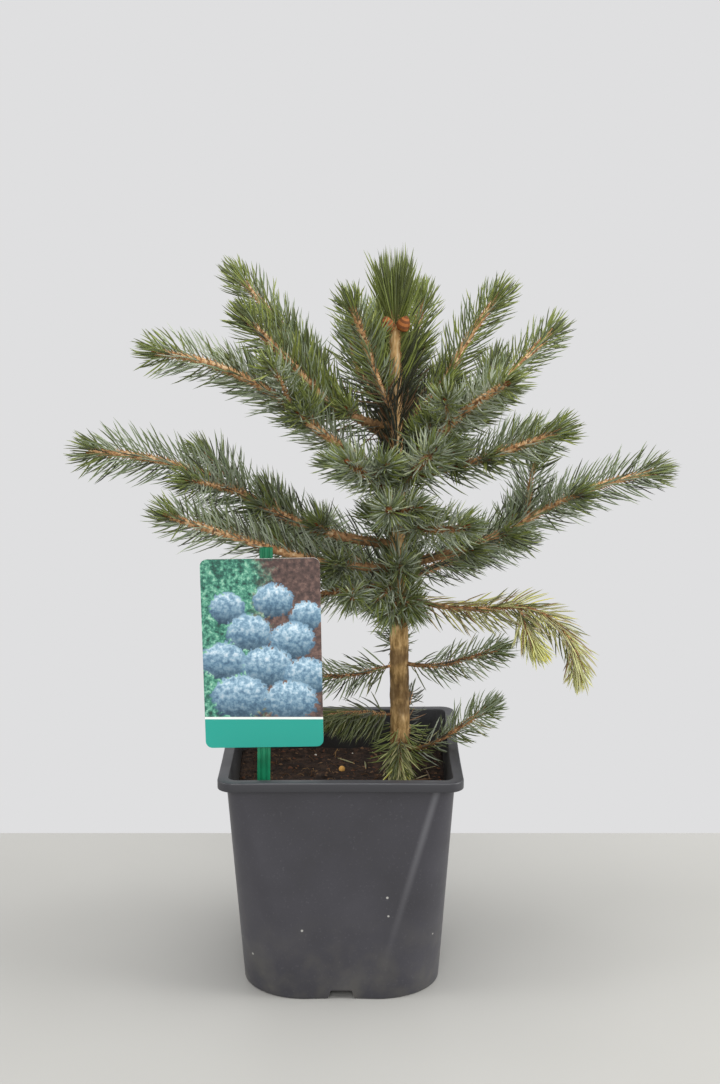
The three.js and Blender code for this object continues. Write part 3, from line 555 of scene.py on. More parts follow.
def label_print():
    """Printed polypropylene card: a soft bed of blue cushion plants over a plain teal band."""
    material, add = start_material("printed_polypropylene_card", "#8fb3bd", 0.3,
                                   {"Coat Weight": 0.25, "Coat Roughness": 0.2})
    shares = add(MAPPING, {"Scale": (per_mm(CARD_WIDTH), 1, per_mm(CARD_HEIGHT)),
                           "Location": (-CARD_X / CARD_WIDTH, 0, -CARD_FOOT_Z / CARD_HEIGHT)})
    across, _, up = add(SPLIT, {"Vector": shares}).outputs
    mottle = add(NOISE, {"Scale": per_mm(6), "Detail": 5, "Roughness": 0.7})
    leaves = add(NOISE, {"Scale": per_mm(2.6), "Detail": 4, "Roughness": 0.65})
    green, brown, blue = (add(RAMP, {"stops": stops, "Fac": leaves}) for stops in (
        [(0.34, "#173f38"), (0.48, "#2f7361"), (0.58, "#63a78c"), (0.7, "#a5d2b8")],
        [(0.3, "#2f2424"), (0.5, "#54403b"), (0.7, "#7d6259")],
        [(0.3, "#5d7f99"), (0.45, "#86a9c0"), (0.55, "#b3cfdf"), (0.68, "#e4eef4")]))
    side = add(MATHS, {0: mottle, 1: 0.6, 2: across})
    side = add(RANGE, {"Value": side, "span": (0.2, 0.34)})
    body = add(MIX, {0: side, 6: green, 7: brown})
    for middle_x, middle_z, half_x, half_z in PRINT_CUSHIONS:
        off_x, off_z = (add(RANGE, {"clamp": False, "Value": share, "span": (middle, middle + half)})
                        for share, middle, half in ((across, middle_x, half_x),
                                                    (up, middle_z, half_z)))
        off = add(MATHS, {0: off_z, 1: off_z, 2: add(MATHS, {0: off_x, 1: off_x})})
        ragged = add(MATHS, {0: leaves, 1: 1.8, 2: off})
        inside = add(RANGE, {"Value": ragged, "span": (1.96, 1.8)})
        shade = add(RAMP, {"stops": [(0, "#3c5663"), (0.45, "#a4b6c0"), (0.8, "#ffffff")],
                           "Fac": add(RANGE, {"Value": off_z, "span": (-1, 1)})})
        lit = add(MIX, {"blend_type": "MULTIPLY", 0: 1, 6: blue, 7: shade})
        body = add(MIX, {0: inside, 6: body, 7: lit})
    for top, colour in ((PRINT_BAND + PRINT_LINE, "#eef2ee"), (PRINT_BAND, "#119a8a")):
        band = add(RANGE, {"Value": up, "span": (top + PRINT_BLUR, top)})
        body = add(MIX, {0: band, 6: body, 7: colour})
    return finish_material(material, {"Base Color": body})


def label_back():
    """The card's unprinted back and cut edges: white polypropylene with a faint haze."""
    material, add = start_material("white_polypropylene_card", "#e6e7e4", 0.45)
    haze = add(NOISE, {"Scale": per_mm(22), "Detail": 3})
    body = add(RAMP, {"stops": [(0.3, "#dddeda"), (0.7, "#ecedea")], "Fac": haze})
    return finish_material(material, {"Base Color": body})


def stake_plastic():
    """The stake's moulded polystyrene: bottle green, a little cloudy, soiled where it enters the
    peat."""
    material, add = start_material("moulded_green_polystyrene", "#12704c", 0.38)
    clouds = add(NOISE, {"Scale": per_mm(9), "Detail": 3})
    body = add(RAMP, {"stops": [(0.3, "#0e6443"), (0.7, "#188059")], "Fac": clouds})
    low = add(RANGE, {"Value": add(SPLIT).outputs["Z"], "span": (0.126, 0.113, 0, 0.7)})
    splashes = add(NOISE, {"Scale": per_mm(3), "Detail": 4})
    splashes = add(RANGE, {"Value": splashes, "span": (0.4, 0.6)})
    soiled = add(MATHS, {0: low, 1: splashes})
    return finish_material(material, {
        "Base Color": add(MIX, {0: soiled, 6: body, 7: "#3a3327"}),
        "Normal": add(BUMP, {"Strength": 0.4, "Distance": 0.1 * MM, "Height": clouds})})


def table_laminate():
    """The table's laminate: matt, pale grey and faintly clouded."""
    material, add = start_material("matt_table_laminate", "#a1a09c", 0.6)
    haze = add(NOISE, {"Scale": per_mm(260), "Detail": 2})
    body = add(RAMP, {"stops": [(0.3, "#9e9d99"), (0.7, "#a4a39f")], "Fac": haze})
    return finish_material(material, {"Base Color": body})


# A blue spruce's needles are stiff, four-sided and waxy: a pale bloom over dark green, fresh
# green where they are new. Each tone is plain, because it is dealt out needle by needle. With it
# is the tone of such a needle's darker side, which is also painted shade on needles under a shoot.
NEEDLE_TONES = {
    "frost": ("#c2caa3", "blue"), "bloom": ("#b2baa5", "blue"), "blue": ("#969e8a", "blue_green"),
    "blue_green": ("#7e8a6f", "green"), "green": ("#6e7b50", "deep"), "deep": ("#4b5234", "dusk"),
    "dusk": ("#2e3021", "dusk"), "fresh": ("#7b863a", "moss"), "fresh_light": ("#979f55", "fresh"),
    "moss": ("#6d7839", "dark_moss"), "dark_moss": ("#515829", "deep"),
    "yellow": ("#c0b94a", "yellow_green"), "yellow_green": ("#b9bb7c", "olive"),
    "straw": ("#c4b98f", "brown"), "brown": ("#725538", "brown"), "olive": ("#949066", "dark_moss"),
}
DARKER = {name: darker for name, (_, darker) in NEEDLE_TONES.items()}
# The shoots' ridged bark, the pegs that needles stand on, and the resinous bud scales
BARK_TONES = {
    "ochre": "#bf966a", "tan": "#d6b790", "russet": "#a17650", "umber": "#755439",
    "bistre": "#4d3a28", "peg": "#a8865c", "scale": "#995c2d", "scale_dark": "#6c3f1f",
}
# Peat crumbs, root fibre, perlite and a grain of slow fertiliser
GROUND_TONES = {
    "crumb_black": "#241a15", "crumb_brown": "#46342a", "crumb_red": "#62402e",
    "crumb_dry": "#6d533d", "fibre": "#5a4029", "fibre_pale": "#8a6c48", "perlite": "#d9d5cb",
    "pellet": "#d8a45a",
}


def plain_materials():
    """The plain tones of everything that is dealt out piece by piece."""
    waxy = {"Specular IOR Level": 0.45, "Sheen Weight": 0.1, "Sheen Roughness": 0.5}
    needle_tones = {name: colour for name, (colour, _) in NEEDLE_TONES.items()}
    return {name: start_material(f"{kind}_{name}", colour, roughness, plain)[0]
            for kind, tones, roughness, plain in (
                ("waxy_needle", needle_tones, 0.48, waxy),
                ("shoot_bark", BARK_TONES, 0.75, {"Specular IOR Level": 0.3}),
                ("ground", GROUND_TONES, 0.9, {"Specular IOR Level": 0.25}))
            for name, colour in tones.items()}


# Meshes


def add_object(data):
    """An object in the scene for some data, with its name."""
    thing = bpy.data.objects.new(data.name, data)
    bpy.context.scene.collection.objects.link(thing)
    return thing


def finish_piece(mesh, nodes=()):
    """A piece for a mesh that is already in its place, named as its mesh is."""
    piece = add_object(mesh)
    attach(piece, "root")
    if nodes:
        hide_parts(*nodes)
    return piece


def mesh_from(bm, name, materials=(), smooth=True):
    """A mesh in metres from a bmesh in millimetres."""
    bmesh.ops.scale(bm, verts=bm.verts, vec=(MM, MM, MM))
    mesh = bpy.data.meshes.new(name)
    bm.to_mesh(mesh)
    bm.free()
    for material in materials:
        mesh.materials.append(material)
    mesh.polygons.foreach_set("use_smooth", [smooth] * len(mesh.polygons))
    return mesh


class Heap:
    """Many small closed shapes joined into one mesh, as placed copies of a few shapes."""

    def __init__(self, tones):
        self.tones = tones
        self.parts = []
        self.count = 0

    def add(self, shape, tones, matrix=Matrix.Identity(4)):
        """A placed copy of a shape. The tones are those of its groups of faces, in order."""
        points, loops, sizes, groups = shape
        placed = points @ np.array(matrix.to_3x3()).T + np.array(matrix.translation)
        toned = np.array([self.tones.index(tone) for tone in tones])[groups]
        self.parts.append((placed, loops + self.count, sizes, toned))
        self.count += len(points)

    def mesh(self, name, materials, smooth=True):
        points, loops, sizes, groups = (np.concatenate(arrays) for arrays in zip(*self.parts))
        mesh = bpy.data.meshes.new(name)
        for tone in self.tones:
            mesh.materials.append(materials[tone])
        mesh.vertices.add(len(points))
        mesh.loops.add(len(loops))
        mesh.polygons.add(len(sizes))
        for items, key, values, kind in (
                (mesh.vertices, "co", (points * MM).ravel(), np.float32),
                (mesh.loops, "vertex_index", loops, np.int32),
                (mesh.polygons, "loop_start", np.cumsum(sizes) - sizes, np.int32),
                (mesh.polygons, "material_index", groups, np.int32),
                (mesh.polygons, "use_smooth", np.full(len(sizes), smooth), bool)):
            items.foreach_set(key, values.astype(kind))
        mesh.update(calc_edges=True)
        return mesh


def shape_of(bm, group_of=lambda face: 0):
    """A closed bmesh as arrays: points, corners of the faces, their sizes and their groups."""
    bmesh.ops.recalc_face_normals(bm, faces=bm.faces)
    bm.verts.index_update()
    points = np.array([vert.co for vert in bm.verts], float)
    loops = np.array([vert.index for face in bm.faces for vert in face.verts])
    sizes = np.array([len(face.verts) for face in bm.faces])
    groups = np.array([group_of(face) for face in bm.faces])
    bm.free()
    return points, loops, sizes, groups


def extrude_up(bm, edges, steps):
    """Extrudes an open ring of edges upwards by 1 at each step."""
    for _ in range(steps):
        grown = bmesh.ops.extrude_edge_only(bm, edges=edges)["geom"]
        ring = [item for item in grown if isinstance(item, bmesh.types.BMVert)]
        edges = [item for item in grown if isinstance(item, bmesh.types.BMEdge)]
        bmesh.ops.translate(bm, verts=ring, vec=UP)


def open_tube(sides, levels):
    """An open tube of radius 1 round Z whose rings lie at heights 0, 1, 2 and so on."""
    bm = bmesh.new()
    bmesh.ops.create_circle(bm, segments=sides, radius=1)
    extrude_up(bm, bm.edges[:], levels - 1)
    return bm


def close_ends(bm):
    """Closes the open rings of a tube."""
    bmesh.ops.holes_fill(bm, edges=[edge for edge in bm.edges if edge.is_boundary], sides=0)


def box_of(*size):
    """A box of a size round the origin."""
    bm = bmesh.new()
    bmesh.ops.create_cube(bm, size=1)
    bmesh.ops.scale(bm, verts=bm.verts, vec=size)
    return bm


def bevel(bm, edges, radius, segments):
    return bmesh.ops.bevel(bm, geom=edges, offset=radius, segments=segments, profile=0.5,
                           affect="EDGES", material=-1)["verts"]


def needle_shape(bend):
    """A needle of length 1 along Z: four-sided, on a peg, pointed, and curved towards +X.

    Its faces are in three groups: the peg, the paler faces and the darker ones.
    """
    rings = [(0, 0.75), (0.08, 0.72), (0.45, 1.0), (0.8, 0.74), (1.0, 0.0)]
    bm = open_tube(4, len(rings))
    for vert in bm.verts:
        height, width = rings[round(vert.co.z)]
        vert.co = Vector((vert.co.x * width + bend * height * height, vert.co.y * width, height))
    bmesh.ops.remove_doubles(bm, verts=bm.verts, dist=1e-5)
    close_ends(bm)
    bm.normal_update()

    def group_of(face):
        if face.calc_center_median().z < rings[1][0]:
            return 0
        return 1 if face.normal.x > 0 else 2

    return shape_of(bm, group_of)


def bud_shape():
    """A bud of length 1 along Z, ovate, with scales that overlap like tiles."""
    bm = bmesh.new()
    bmesh.ops.create_uvsphere(bm, u_segments=12, v_segments=10, radius=0.5)
    for vert in bm.verts:
        height = clamp(vert.co.z + 0.5)
        tile = 1 + 0.1 * ((height * 4 + 0.5 * (math.atan2(vert.co.y, vert.co.x) > 0)) % 1)
        taper = lerp(1.05, 0.5, height ** 1.5)
        vert.co = Vector((vert.co.x * tile * taper, vert.co.y * tile * taper, height))
    return shape_of(bm, lambda face: int(face.calc_center_median().z * 8) % 2)


def limb(frames, radii, sides, reach):
    """A closed limb through a list of frames. A rule gives how far out its skin lies."""
    bm = open_tube(sides, len(frames))
    for vert in bm.verts:
        step = round(vert.co.z)
        point, _, side, over = frames[step]
        outward = side * vert.co.x + over * vert.co.y
        vert.co = point + outward * reach(step, point + outward * radii[step])
    close_ends(bm)
    return bm


def limb_shape(frames, radii, sides, ridge, group_count=1):
    """A limb with ridged bark, whose faces are grouped by noise."""

    def reach(step, skin):
        return radii[step] + ridge * roughness_at(skin, STEM_BARK)

    def group_of(face):
        mottle = roughness_at(face.calc_center_median(), STEM_MOTTLE, 0.5)
        return int(clamp(mottle, 0, 0.999) * group_count)

    return shape_of(limb(frames, radii, sides, reach), group_of)


# Growth


def trunk_at(height):
    """The trunk's centre at a height above the floor."""
    part = (height - SOIL_TOP) / (TRUNK_TOP - SOIL_TOP)
    return Vector((lerp(TRUNK_FOOT[0], TRUNK_TIP[0], part),
                   lerp(TRUNK_FOOT[1], TRUNK_TIP[1], part), height))


def trunk_radius(height):
    above = clamp(height - SOIL_TOP, 0, TRUNK_RADII[-1][0])
    if above < FLARE_HEIGHT:
        return lerp(FLARE_RADIUS, TRUNK_RADII[0][1], math.sqrt(above / FLARE_HEIGHT))
    for (low, wide), (high, slim) in zip(TRUNK_RADII, TRUNK_RADII[1:]):
        if above <= high:
            return lerp(wide, slim, (above - low) / (high - low))


def grow_path(start, turn, long, rise, swing=0):
    """Points at even steps of a shoot that turns evenly from rise to rise."""
    count = max(6, round(long / PATH_STEP))
    points = [start.copy()]
    for i in range(count):
        part = (i + 0.5) / count
        half = 0 if part < 0.5 else 1
        lift = math.radians(lerp(rise[half], rise[half + 1], part * 2 - half))
        level = compass(turn + swing * (part - 0.5)) * math.cos(lift)
        points.append(points[-1] + (level + UP * math.sin(lift)) * (long / count))
    return points


def frames_along(points):
    """For each point: itself, the heading, a side, and the side that faces up."""
    last = len(points) - 1
    frames = []
    side = (points[1] - points[0]).cross(UP)
    if side.length < 0.1 * (points[1] - points[0]).length:
        side = Vector((0, 1, 0))
    for i, point in enumerate(points):
        forward = (points[min(i + 1, last)] - points[max(i - 1, 0)]).normalized()
        side = (side - forward * side.dot(forward)).normalized()
        frames.append((point, forward, side, side.cross(forward)))
    return frames


class Stem:
    """A shoot or twig: its frames, its length, its radii at root and tip, its needles' habit, and
    how far out along its shoot it starts."""

    def __init__(self, points, long, root_radius, tip_radius, habit, start=0):
        self.frames = frames_along(points)
        self.long = long
        self.root_radius, self.tip_radius = root_radius, tip_radius
        self.habit = habit
        self.start = start

    def at(self, run):
        """The frame at a run from the root."""
        place = clamp(run / self.long) * (len(self.frames) - 1)
        step = min(int(place), len(self.frames) - 2)
        pairs = zip(self.frames[step], self.frames[step + 1])
        point, *axes = (first.lerp(second, place - step) for first, second in pairs)
        return point, *[axis.normalized() for axis in axes]

    def radius(self, run):
        return lerp(self.root_radius, self.tip_radius, clamp(run / self.long) ** STEM_TAPER)

    def radii(self):
        """The radius at each frame."""
        last = len(self.frames) - 1
        return [self.radius(self.long * i / last) for i in range(last + 1)]

    def twig(self, run, turn, lift, long):
        """A twig that leaves this stem, turned to the side and up or down, and then levels out."""
        point, forward, _, _ = self.at(run)
        angle = math.degrees(math.atan2(forward.y, forward.x)) + turn
        climb = math.degrees(math.asin(clamp(forward.z, -1, 1))) + lift
        path = grow_path(point, angle, long, (climb, climb, climb * TWIG_LEVELLING))
        return Stem(path, long, TWIG_RADIUS, TWIG_RADIUS * TWIG_TAPER, self.habit, run)


def is_free(point):
    """Needles and twigs keep out of the trunk, the soil, the pot's wall and the label."""
    off_trunk = (point - trunk_at(point.z)).length > trunk_radius(point.z) or point.z > TRUNK_TOP
    out = max(abs(point.x), abs(point.y))
    off_wall = (out < BODY_HALF - WALL - ROOM or out > RIM_HALF + ROOM
                or point.z > POT_HEIGHT + ROOM)
    label_back = CARD_FRONT_Y + CARD_THICK + STAKE_THICK
    off_label = (abs(point.x - CARD_X) > CARD_WIDTH / 2 + CARD_ROOM + ROOM
                 or point.z > STAKE_TOP_Z + ROOM or point.y > label_back + CARD_ROOM)
    return off_trunk and off_wall and off_label and point.z > SOIL_TOP + ROOM


# Needles by habit: spacing along the stem, length, lean from the stem, lift towards the sky, and
# the tones near the root, along the shoot and at its tip. The dark root tones of most habits, and
# all the tones of the sparse shoot behind the trunk and of the trunk's needles in the crown's
# heart, are painted shade.
HABITS = {
    "blue": (0.35, 20.5, 55, 0.06, "deep green moss dusk",
             "blue blue_green bloom green blue blue_green deep", "fresh moss dark_moss fresh green"),
    "dull": (0.34, 19.5, 56, 0.12, "blue_green bloom moss blue fresh",
             "frost blue bloom blue_green fresh", "blue_green green moss bloom fresh"),
    "fresh_tipped": (0.35, 20, 55, 0.07, "deep green moss dusk",
                     "blue bloom blue_green green moss bloom",
                     "fresh fresh_light moss dark_moss fresh"),
    "fresh": (0.34, 20, 52, 0.08, "dusk dusk brown dusk deep",
              "green moss fresh fresh_light blue blue_green",
              "fresh fresh_light moss dark_moss fresh"),
    "shaded": (0.34, 16, 58, -0.15, "dusk dark_moss olive dark_moss",
               "bloom blue blue_green olive green", "moss blue blue_green"),
    "old": (0.17, 19, 74, -0.9, "deep dark_moss dark_moss",
            "moss dark_moss deep olive dark_moss", "moss dark_moss olive"),
    # Painted shade: the sparse shoot behind the trunk has only dark tones
    "sparse": (0.8, 15, 54, -0.3, "dusk brown", "deep dark_moss dusk", "deep dark_moss"),
    "drooping": (0.16, 16, 44, 0, "moss dark_moss olive yellow_green",
                 "yellow_green olive moss olive", "yellow_green yellow olive"),
    "withered": (0.28, 15, 42, -1.1, "moss", "moss dark_moss green olive green", "moss"),
    "yellowing": (0.34, 18, 46, -0.25, "straw olive olive",
                  "yellow_green straw yellow_green yellow olive", "yellow yellow_green yellow"),
    "leader": (0.12, 25, 36, 0, "dusk deep moss", "moss fresh fresh_light fresh", "fresh"),
    "leader_tip": (0.07, 29.5, 21, 0, "fresh moss", "fresh moss moss green", "fresh"),
    "trunk": (0.1, 17, 42, -0.15, "moss", "blue_green bloom moss blue frost", "blue"),
    "open_trunk": (0.2, 18, 50, 0.1, "green", "frost bloom blue_green green moss", "blue"),
    # Painted shade: the trunk's needles in the crown's dark heart
    "core": (0.15, 18, 46, 0.1, "dusk", "dusk dusk deep dusk brown", "deep"),
}
# Habits on the trunk, whose stretches have no tip of their own
STEADY_HABITS = ("leader", "leader_tip", "trunk", "open_trunk", "core", "withered")
NEEDLE_HALF_WIDTH = 0.43
NEEDLE_HALF_THICK = 0.38
NEEDLE_SUNK = 0.3
SHORTENED = 0.7
# How much the needles vary: their turn and lean in degrees, their lift, length and width
TURN_SPREAD = 20
LEAN_SPREAD = 9
LIFT_SPREAD = 0.08
LENGTH_SPREAD = 0.15
WIDTH_SPREAD = 0.12
# Over the last stretch of a shoot they get closer, shorter, more forward and more tousled
TIP_RUN = 18
TIP_LEAN = 24
TIP_SPREAD = 30
TIP_SHORTENING = 0.68
TIP_CROWDING = 0.24
# Over the first stretch of a shoot, fewer and fewer have the tones of its root, which in most habits
# are darker as painted shade
ROOT_RUN = 38
# How far to each side of the front a trunk's needles leave the bark bare, as a sine, up to which
# height, and how much of the trunk in the crown they cover all the same
BARE_FRONT = {"leader": 0.75, "leader_tip": 0.9, "open_trunk": 0.6}
BARE_FRONT_TOP = 386
TRUNK_COVER = 0.55
# Half of the needles that point down take the darker tone: painted shade of the shoot's own shade
UNDERSIDE = -0.25
UNDERSIDE_SHARE = 0.5
NEEDLES = [needle_shape(bend) for bend in (3, 8, 12)]


def matrix_of(x, y, z, place):
    """The matrix with these axes and this place."""
    matrix = Matrix((x, y, z)).transposed().to_4x4()
    matrix.translation = place
    return matrix


def clothe(heap, stem, first, last, random, thinning=1):
    """Needles round a stem in a spiral, closer, shorter and more forward towards the tip."""
    spacing, length, lean, lift, *palettes = HABITS[stem.habit]
    root_tones, tones, tip_tones = (palette.split() for palette in palettes)
    steady = stem.habit in STEADY_HABITS
    run, count = first, 0
    while run < last:
        to_tip = 1 if steady else clamp((stem.long - run) / TIP_RUN)
        point, forward, side, over = stem.at(run)
        turn = math.radians(count * GOLDEN_TURN + scatter(random, TURN_SPREAD))
        outward = side * math.cos(turn) + over * math.sin(turn)
        spread = lerp(TIP_SPREAD, LEAN_SPREAD, to_tip)
        slant = math.radians(lerp(TIP_LEAN, lean, to_tip ** 0.5) + scatter(random, spread))
        direction = forward * math.cos(slant) + outward * math.sin(slant)
        direction = (direction + UP * (lift + scatter(random, LIFT_SPREAD))).normalized()
        reach = length * lerp(TIP_SHORTENING, 1, to_tip) * (1 + scatter(random, LENGTH_SPREAD))
        root = point + outward * (stem.radius(run) - NEEDLE_SUNK)
        bend_to = (forward - direction * forward.dot(direction)).normalized()
        width = 1 + scatter(random, WIDTH_SPREAD)
        matrix = matrix_of(bend_to * NEEDLE_HALF_WIDTH * width,
                           direction.cross(bend_to) * NEEDLE_HALF_THICK * width,
                           direction * reach, root)
        if to_tip < 1 and random() > to_tip:
            palette = tip_tones
        else:
            palette = root_tones if random() * ROOT_RUN > stem.start + run else tones
        tone = pick(random, palette)
        # Painted shade: needles under the shoot may take the darker tone
        if outward.z < UNDERSIDE and random() < UNDERSIDE_SHARE:
            tone = DARKER[tone]
        shape = pick(random, NEEDLES)
        bare = BARE_FRONT.get(stem.habit, 0)
        if stem.habit == "open_trunk" and random() < TRUNK_COVER:
            bare = 0
        shows = outward.y < 0 and abs(outward.x) < bare and root.z < BARE_FRONT_TOP
        near, middle, tip = (is_free(root + direction * reach * part) for part in (0.4, SHORTENED, 1))
        if not shows and near and (middle or tip):
            if not tip:
                matrix.col[2] = matrix.col[2] * SHORTENED
            heap.add(shape, ("peg", tone, DARKER[tone]), matrix)
        run += spacing * thinning * lerp(TIP_CROWDING, 1, to_tip)
        count += 1


# Pot, peat and label


def rounded_square(half, corner, index):
    """A point of a rounded square, walked anticlockwise, whose flats are slightly dished."""
    quarter, step = divmod(index, CORNER_POINTS + FLAT_POINTS)
    if step <= CORNER_POINTS:
        angle = math.radians(90 * step / CORNER_POINTS)
        x = half - corner + corner * math.cos(angle)
        y = half - corner + corner * math.sin(angle)
    else:
        part = (step - CORNER_POINTS) / FLAT_POINTS
        x = lerp(half - corner, corner - half, part)
        y = half - PANEL_DISH * math.sin(math.pi * part)
    return Matrix.Rotation(math.radians(90 * quarter), 2) @ Vector((x, y))


def wall_level(z, inset):
    """The pot's wall at a height, moved inwards by an inset: height, half width and corner."""
    part = z / RIM_UNDER
    half = lerp(FOOT_HALF, BODY_HALF, part) - inset
    return z, half, lerp(FOOT_CORNER, BODY_CORNER, part) - inset


def rim_level(z, inset):
    return z, RIM_HALF - inset, RIM_CORNER - inset


def rounded_edge(level, z, inset, from_angle, to_angle, radius):
    """Levels round an edge's arc, whose middle is at a height and an inset."""
    arc = [math.radians(lerp(from_angle, to_angle, i / EDGE_STEPS)) for i in range(EDGE_STEPS + 1)]
    return [level(z + radius * math.sin(angle), inset - radius * math.cos(angle)) for angle in arc]


def tub(levels):
    """A closed tub of rounded squares, whose last ring is its inner floor."""
    count = 4 * (CORNER_POINTS + FLAT_POINTS)
    bm = open_tube(count, len(levels))
    for vert in bm.verts:
        z, half, corner = levels[round(vert.co.z)]
        index = round(math.atan2(vert.co.y, vert.co.x) / math.tau * count) % count
        vert.co = rounded_square(half, corner, index).to_3d() + UP * z
    close_ends(bm)
    bmesh.ops.recalc_face_normals(bm, faces=bm.faces)
    return bm


def drain_bars(grow, first, last, foot):
    """Four bars of the channel's section, out from the middle of the pot to each side."""
    bm = bmesh.new()
    for quarter in range(4):
        bar = bmesh.ops.create_cube(bm, size=2)["verts"]
        for vert in bar:
            x, y, z = vert.co
            half = (DRAIN_FOOT_WIDTH if z < 0 else DRAIN_TOP_WIDTH) / 2 + grow
            height = DRAIN_HEIGHT + grow if z > 0 else foot
            vert.co = Vector((x * half, lerp(first, last, (1 + y) / 2), height))
        roof = [edge for edge in dict.fromkeys(edge for vert in bar for edge in vert.link_edges)
                if min(vert.co.z for vert in edge.verts) > 0
                and edge.verts[0].co.x * edge.verts[1].co.x > 0]
        rounded = bevel(bm, roof, DRAIN_ROUND, 3)
        bar = [*{*[vert for vert in bar if vert.is_valid], *rounded}]
        turn = Matrix.Rotation(math.radians(90 * quarter), 3, "Z")
        bmesh.ops.rotate(bm, verts=bar, matrix=turn)
    return bm


def joined_or_cut(piece, tool_mesh, operation):
    """Gives a piece its mesh after a Boolean with another mesh."""
    tool = add_object(tool_mesh)
    boolean = piece.modifiers.new("drain", "BOOLEAN")
    boolean.object = tool
    boolean.operation = operation
    boolean.solver = "EXACT"
    evaluated = piece.evaluated_get(bpy.context.evaluated_depsgraph_get())
    shape = bpy.data.meshes.new_from_object(evaluated)
    piece.modifiers.clear()
    bpy.data.objects.remove(tool)
    piece.data = shape


def pot_piece():
    """The pot with its folded rim, its rounded edges and a drainage channel in each side."""
    walls = [i / WALL_LEVELS for i in range(1, WALL_LEVELS)]
    top = POT_HEIGHT - RIM_ROUND
    under = POT_HEIGHT - WALL
    hem = RIM_ROUND / 2
    levels = [
        *rounded_edge(wall_level, FOOT_BEVEL, FOOT_BEVEL, -90, 0, FOOT_BEVEL),
        *[wall_level(lerp(FOOT_BEVEL, RIM_UNDER, part), 0) for part in walls],
        wall_level(under, 0), rim_level(under, WALL), rim_level(RIM_UNDER, WALL),
        *rounded_edge(rim_level, RIM_UNDER + hem, hem, -90, 0, hem),
        *rounded_edge(rim_level, top, RIM_ROUND, 0, 90, RIM_ROUND),
        *rounded_edge(wall_level, top, WALL - RIM_ROUND, 90, 180, RIM_ROUND),
        *[wall_level(lerp(top, WALL, part), WALL) for part in [*walls, 1]]]
    pot = finish_piece(mesh_from(tub(levels), "nursery_pot"), ["pot"])
    hoods = drain_bars(WALL, DRAIN_INNER_END - WALL, FOOT_HALF - WALL / 2, WALL / 2)
    joined_or_cut(pot, mesh_from(hoods, "hoods"), "UNION")
    channels = drain_bars(0, DRAIN_INNER_END, RIM_HALF, -CUT_PAST)
    joined_or_cut(pot, mesh_from(channels, "channels"), "DIFFERENCE")
    pot.data.materials.append(pot_plastic())
    pot.data.materials.append(shaded_soiled_plastic())
    # Faces inside the wall take the painted shade material
    for face in pot.data.polygons:
        x, y, z = face.center / MM
        inside_wall = max(abs(x), abs(y)) < wall_level(z, WALL / 2)[1]
        over_floor = math.hypot(x, y) < FOOT_HALF - WALL / 2 and z > WALL / 2
        over_hoods = DRAIN_HEIGHT + WALL < z < SHADED_SOILED_TOP
        inwards = face.normal.xy.dot(face.center.xy) <= 0
        face.material_index = int(inside_wall and (over_floor or over_hoods) and inwards)
    pot.data.polygons.foreach_set("use_smooth", [True] * len(pot.data.polygons))
    pot.data.set_sharp_from_angle(angle=math.radians(SHARP_ANGLE))


def peat_height(x, y):
    """The height of the peat's surface, a little heaped round the trunk."""
    spot = Vector((x, y, 0))
    away = (spot.xy - Vector(TRUNK_FOOT)).length / HEAP_WIDTH
    return SOIL_TOP + roughness_at(spot, PEAT_LUMPS) + HEAP_HEIGHT * math.exp(-away ** 2)


def peat_bed():
    """The bed of peat: a lumpy surface with a skirt down the inside of the pot."""
    levels = [wall_level(z, WALL + SOIL_GAP) for z in PEAT_LEVELS]
    bm = bmesh.new()
    bmesh.ops.create_grid(bm, x_segments=SOIL_CELLS, y_segments=SOIL_CELLS, size=1)
    extrude_up(bm, [edge for edge in bm.edges if edge.is_boundary], len(levels) - 1)
    close_ends(bm)
    for vert in bm.verts:
        level = round(vert.co.z)
        z, half, corner = levels[level]
        x, y = vert.co.x * half, vert.co.y * half
        past_x, past_y = abs(x) - (half - corner), abs(y) - (half - corner)
        if min(past_x, past_y) > 0:
            pull = max(past_x, past_y) / math.hypot(past_x, past_y)
            x = math.copysign(half - corner + past_x * pull, x)
            y = math.copysign(half - corner + past_y * pull, y)
        vert.co = Vector((x, y, peat_height(x, y) if level == 0 else z))
    bmesh.ops.recalc_face_normals(bm, faces=bm.faces)
    finish_piece(mesh_from(bm, "peat_bed", [peat()]), ["soil"])


def crumb_shape(seed):
    """A crumb of peat: a rough lump of twenty faces."""
    bm = bmesh.new()
    bmesh.ops.create_icosphere(bm, subdivisions=1, radius=1)
    for vert in bm.verts:
        vert.co *= 1 + 0.5 * noise.noise(vert.co * 1.3 + Vector((seed * 7, 0, 0)))
    return shape_of(bm)


def fibre_shape(seed):
    """A root fibre of length 1: a thin limb that wanders."""
    random = seeded(seed)
    points = [Vector((scatter(random, 0.16), scatter(random, 0.16), i / 6)) for i in range(7)]
    return limb_shape(frames_along(points), [0.022] * 7, 3, 0)


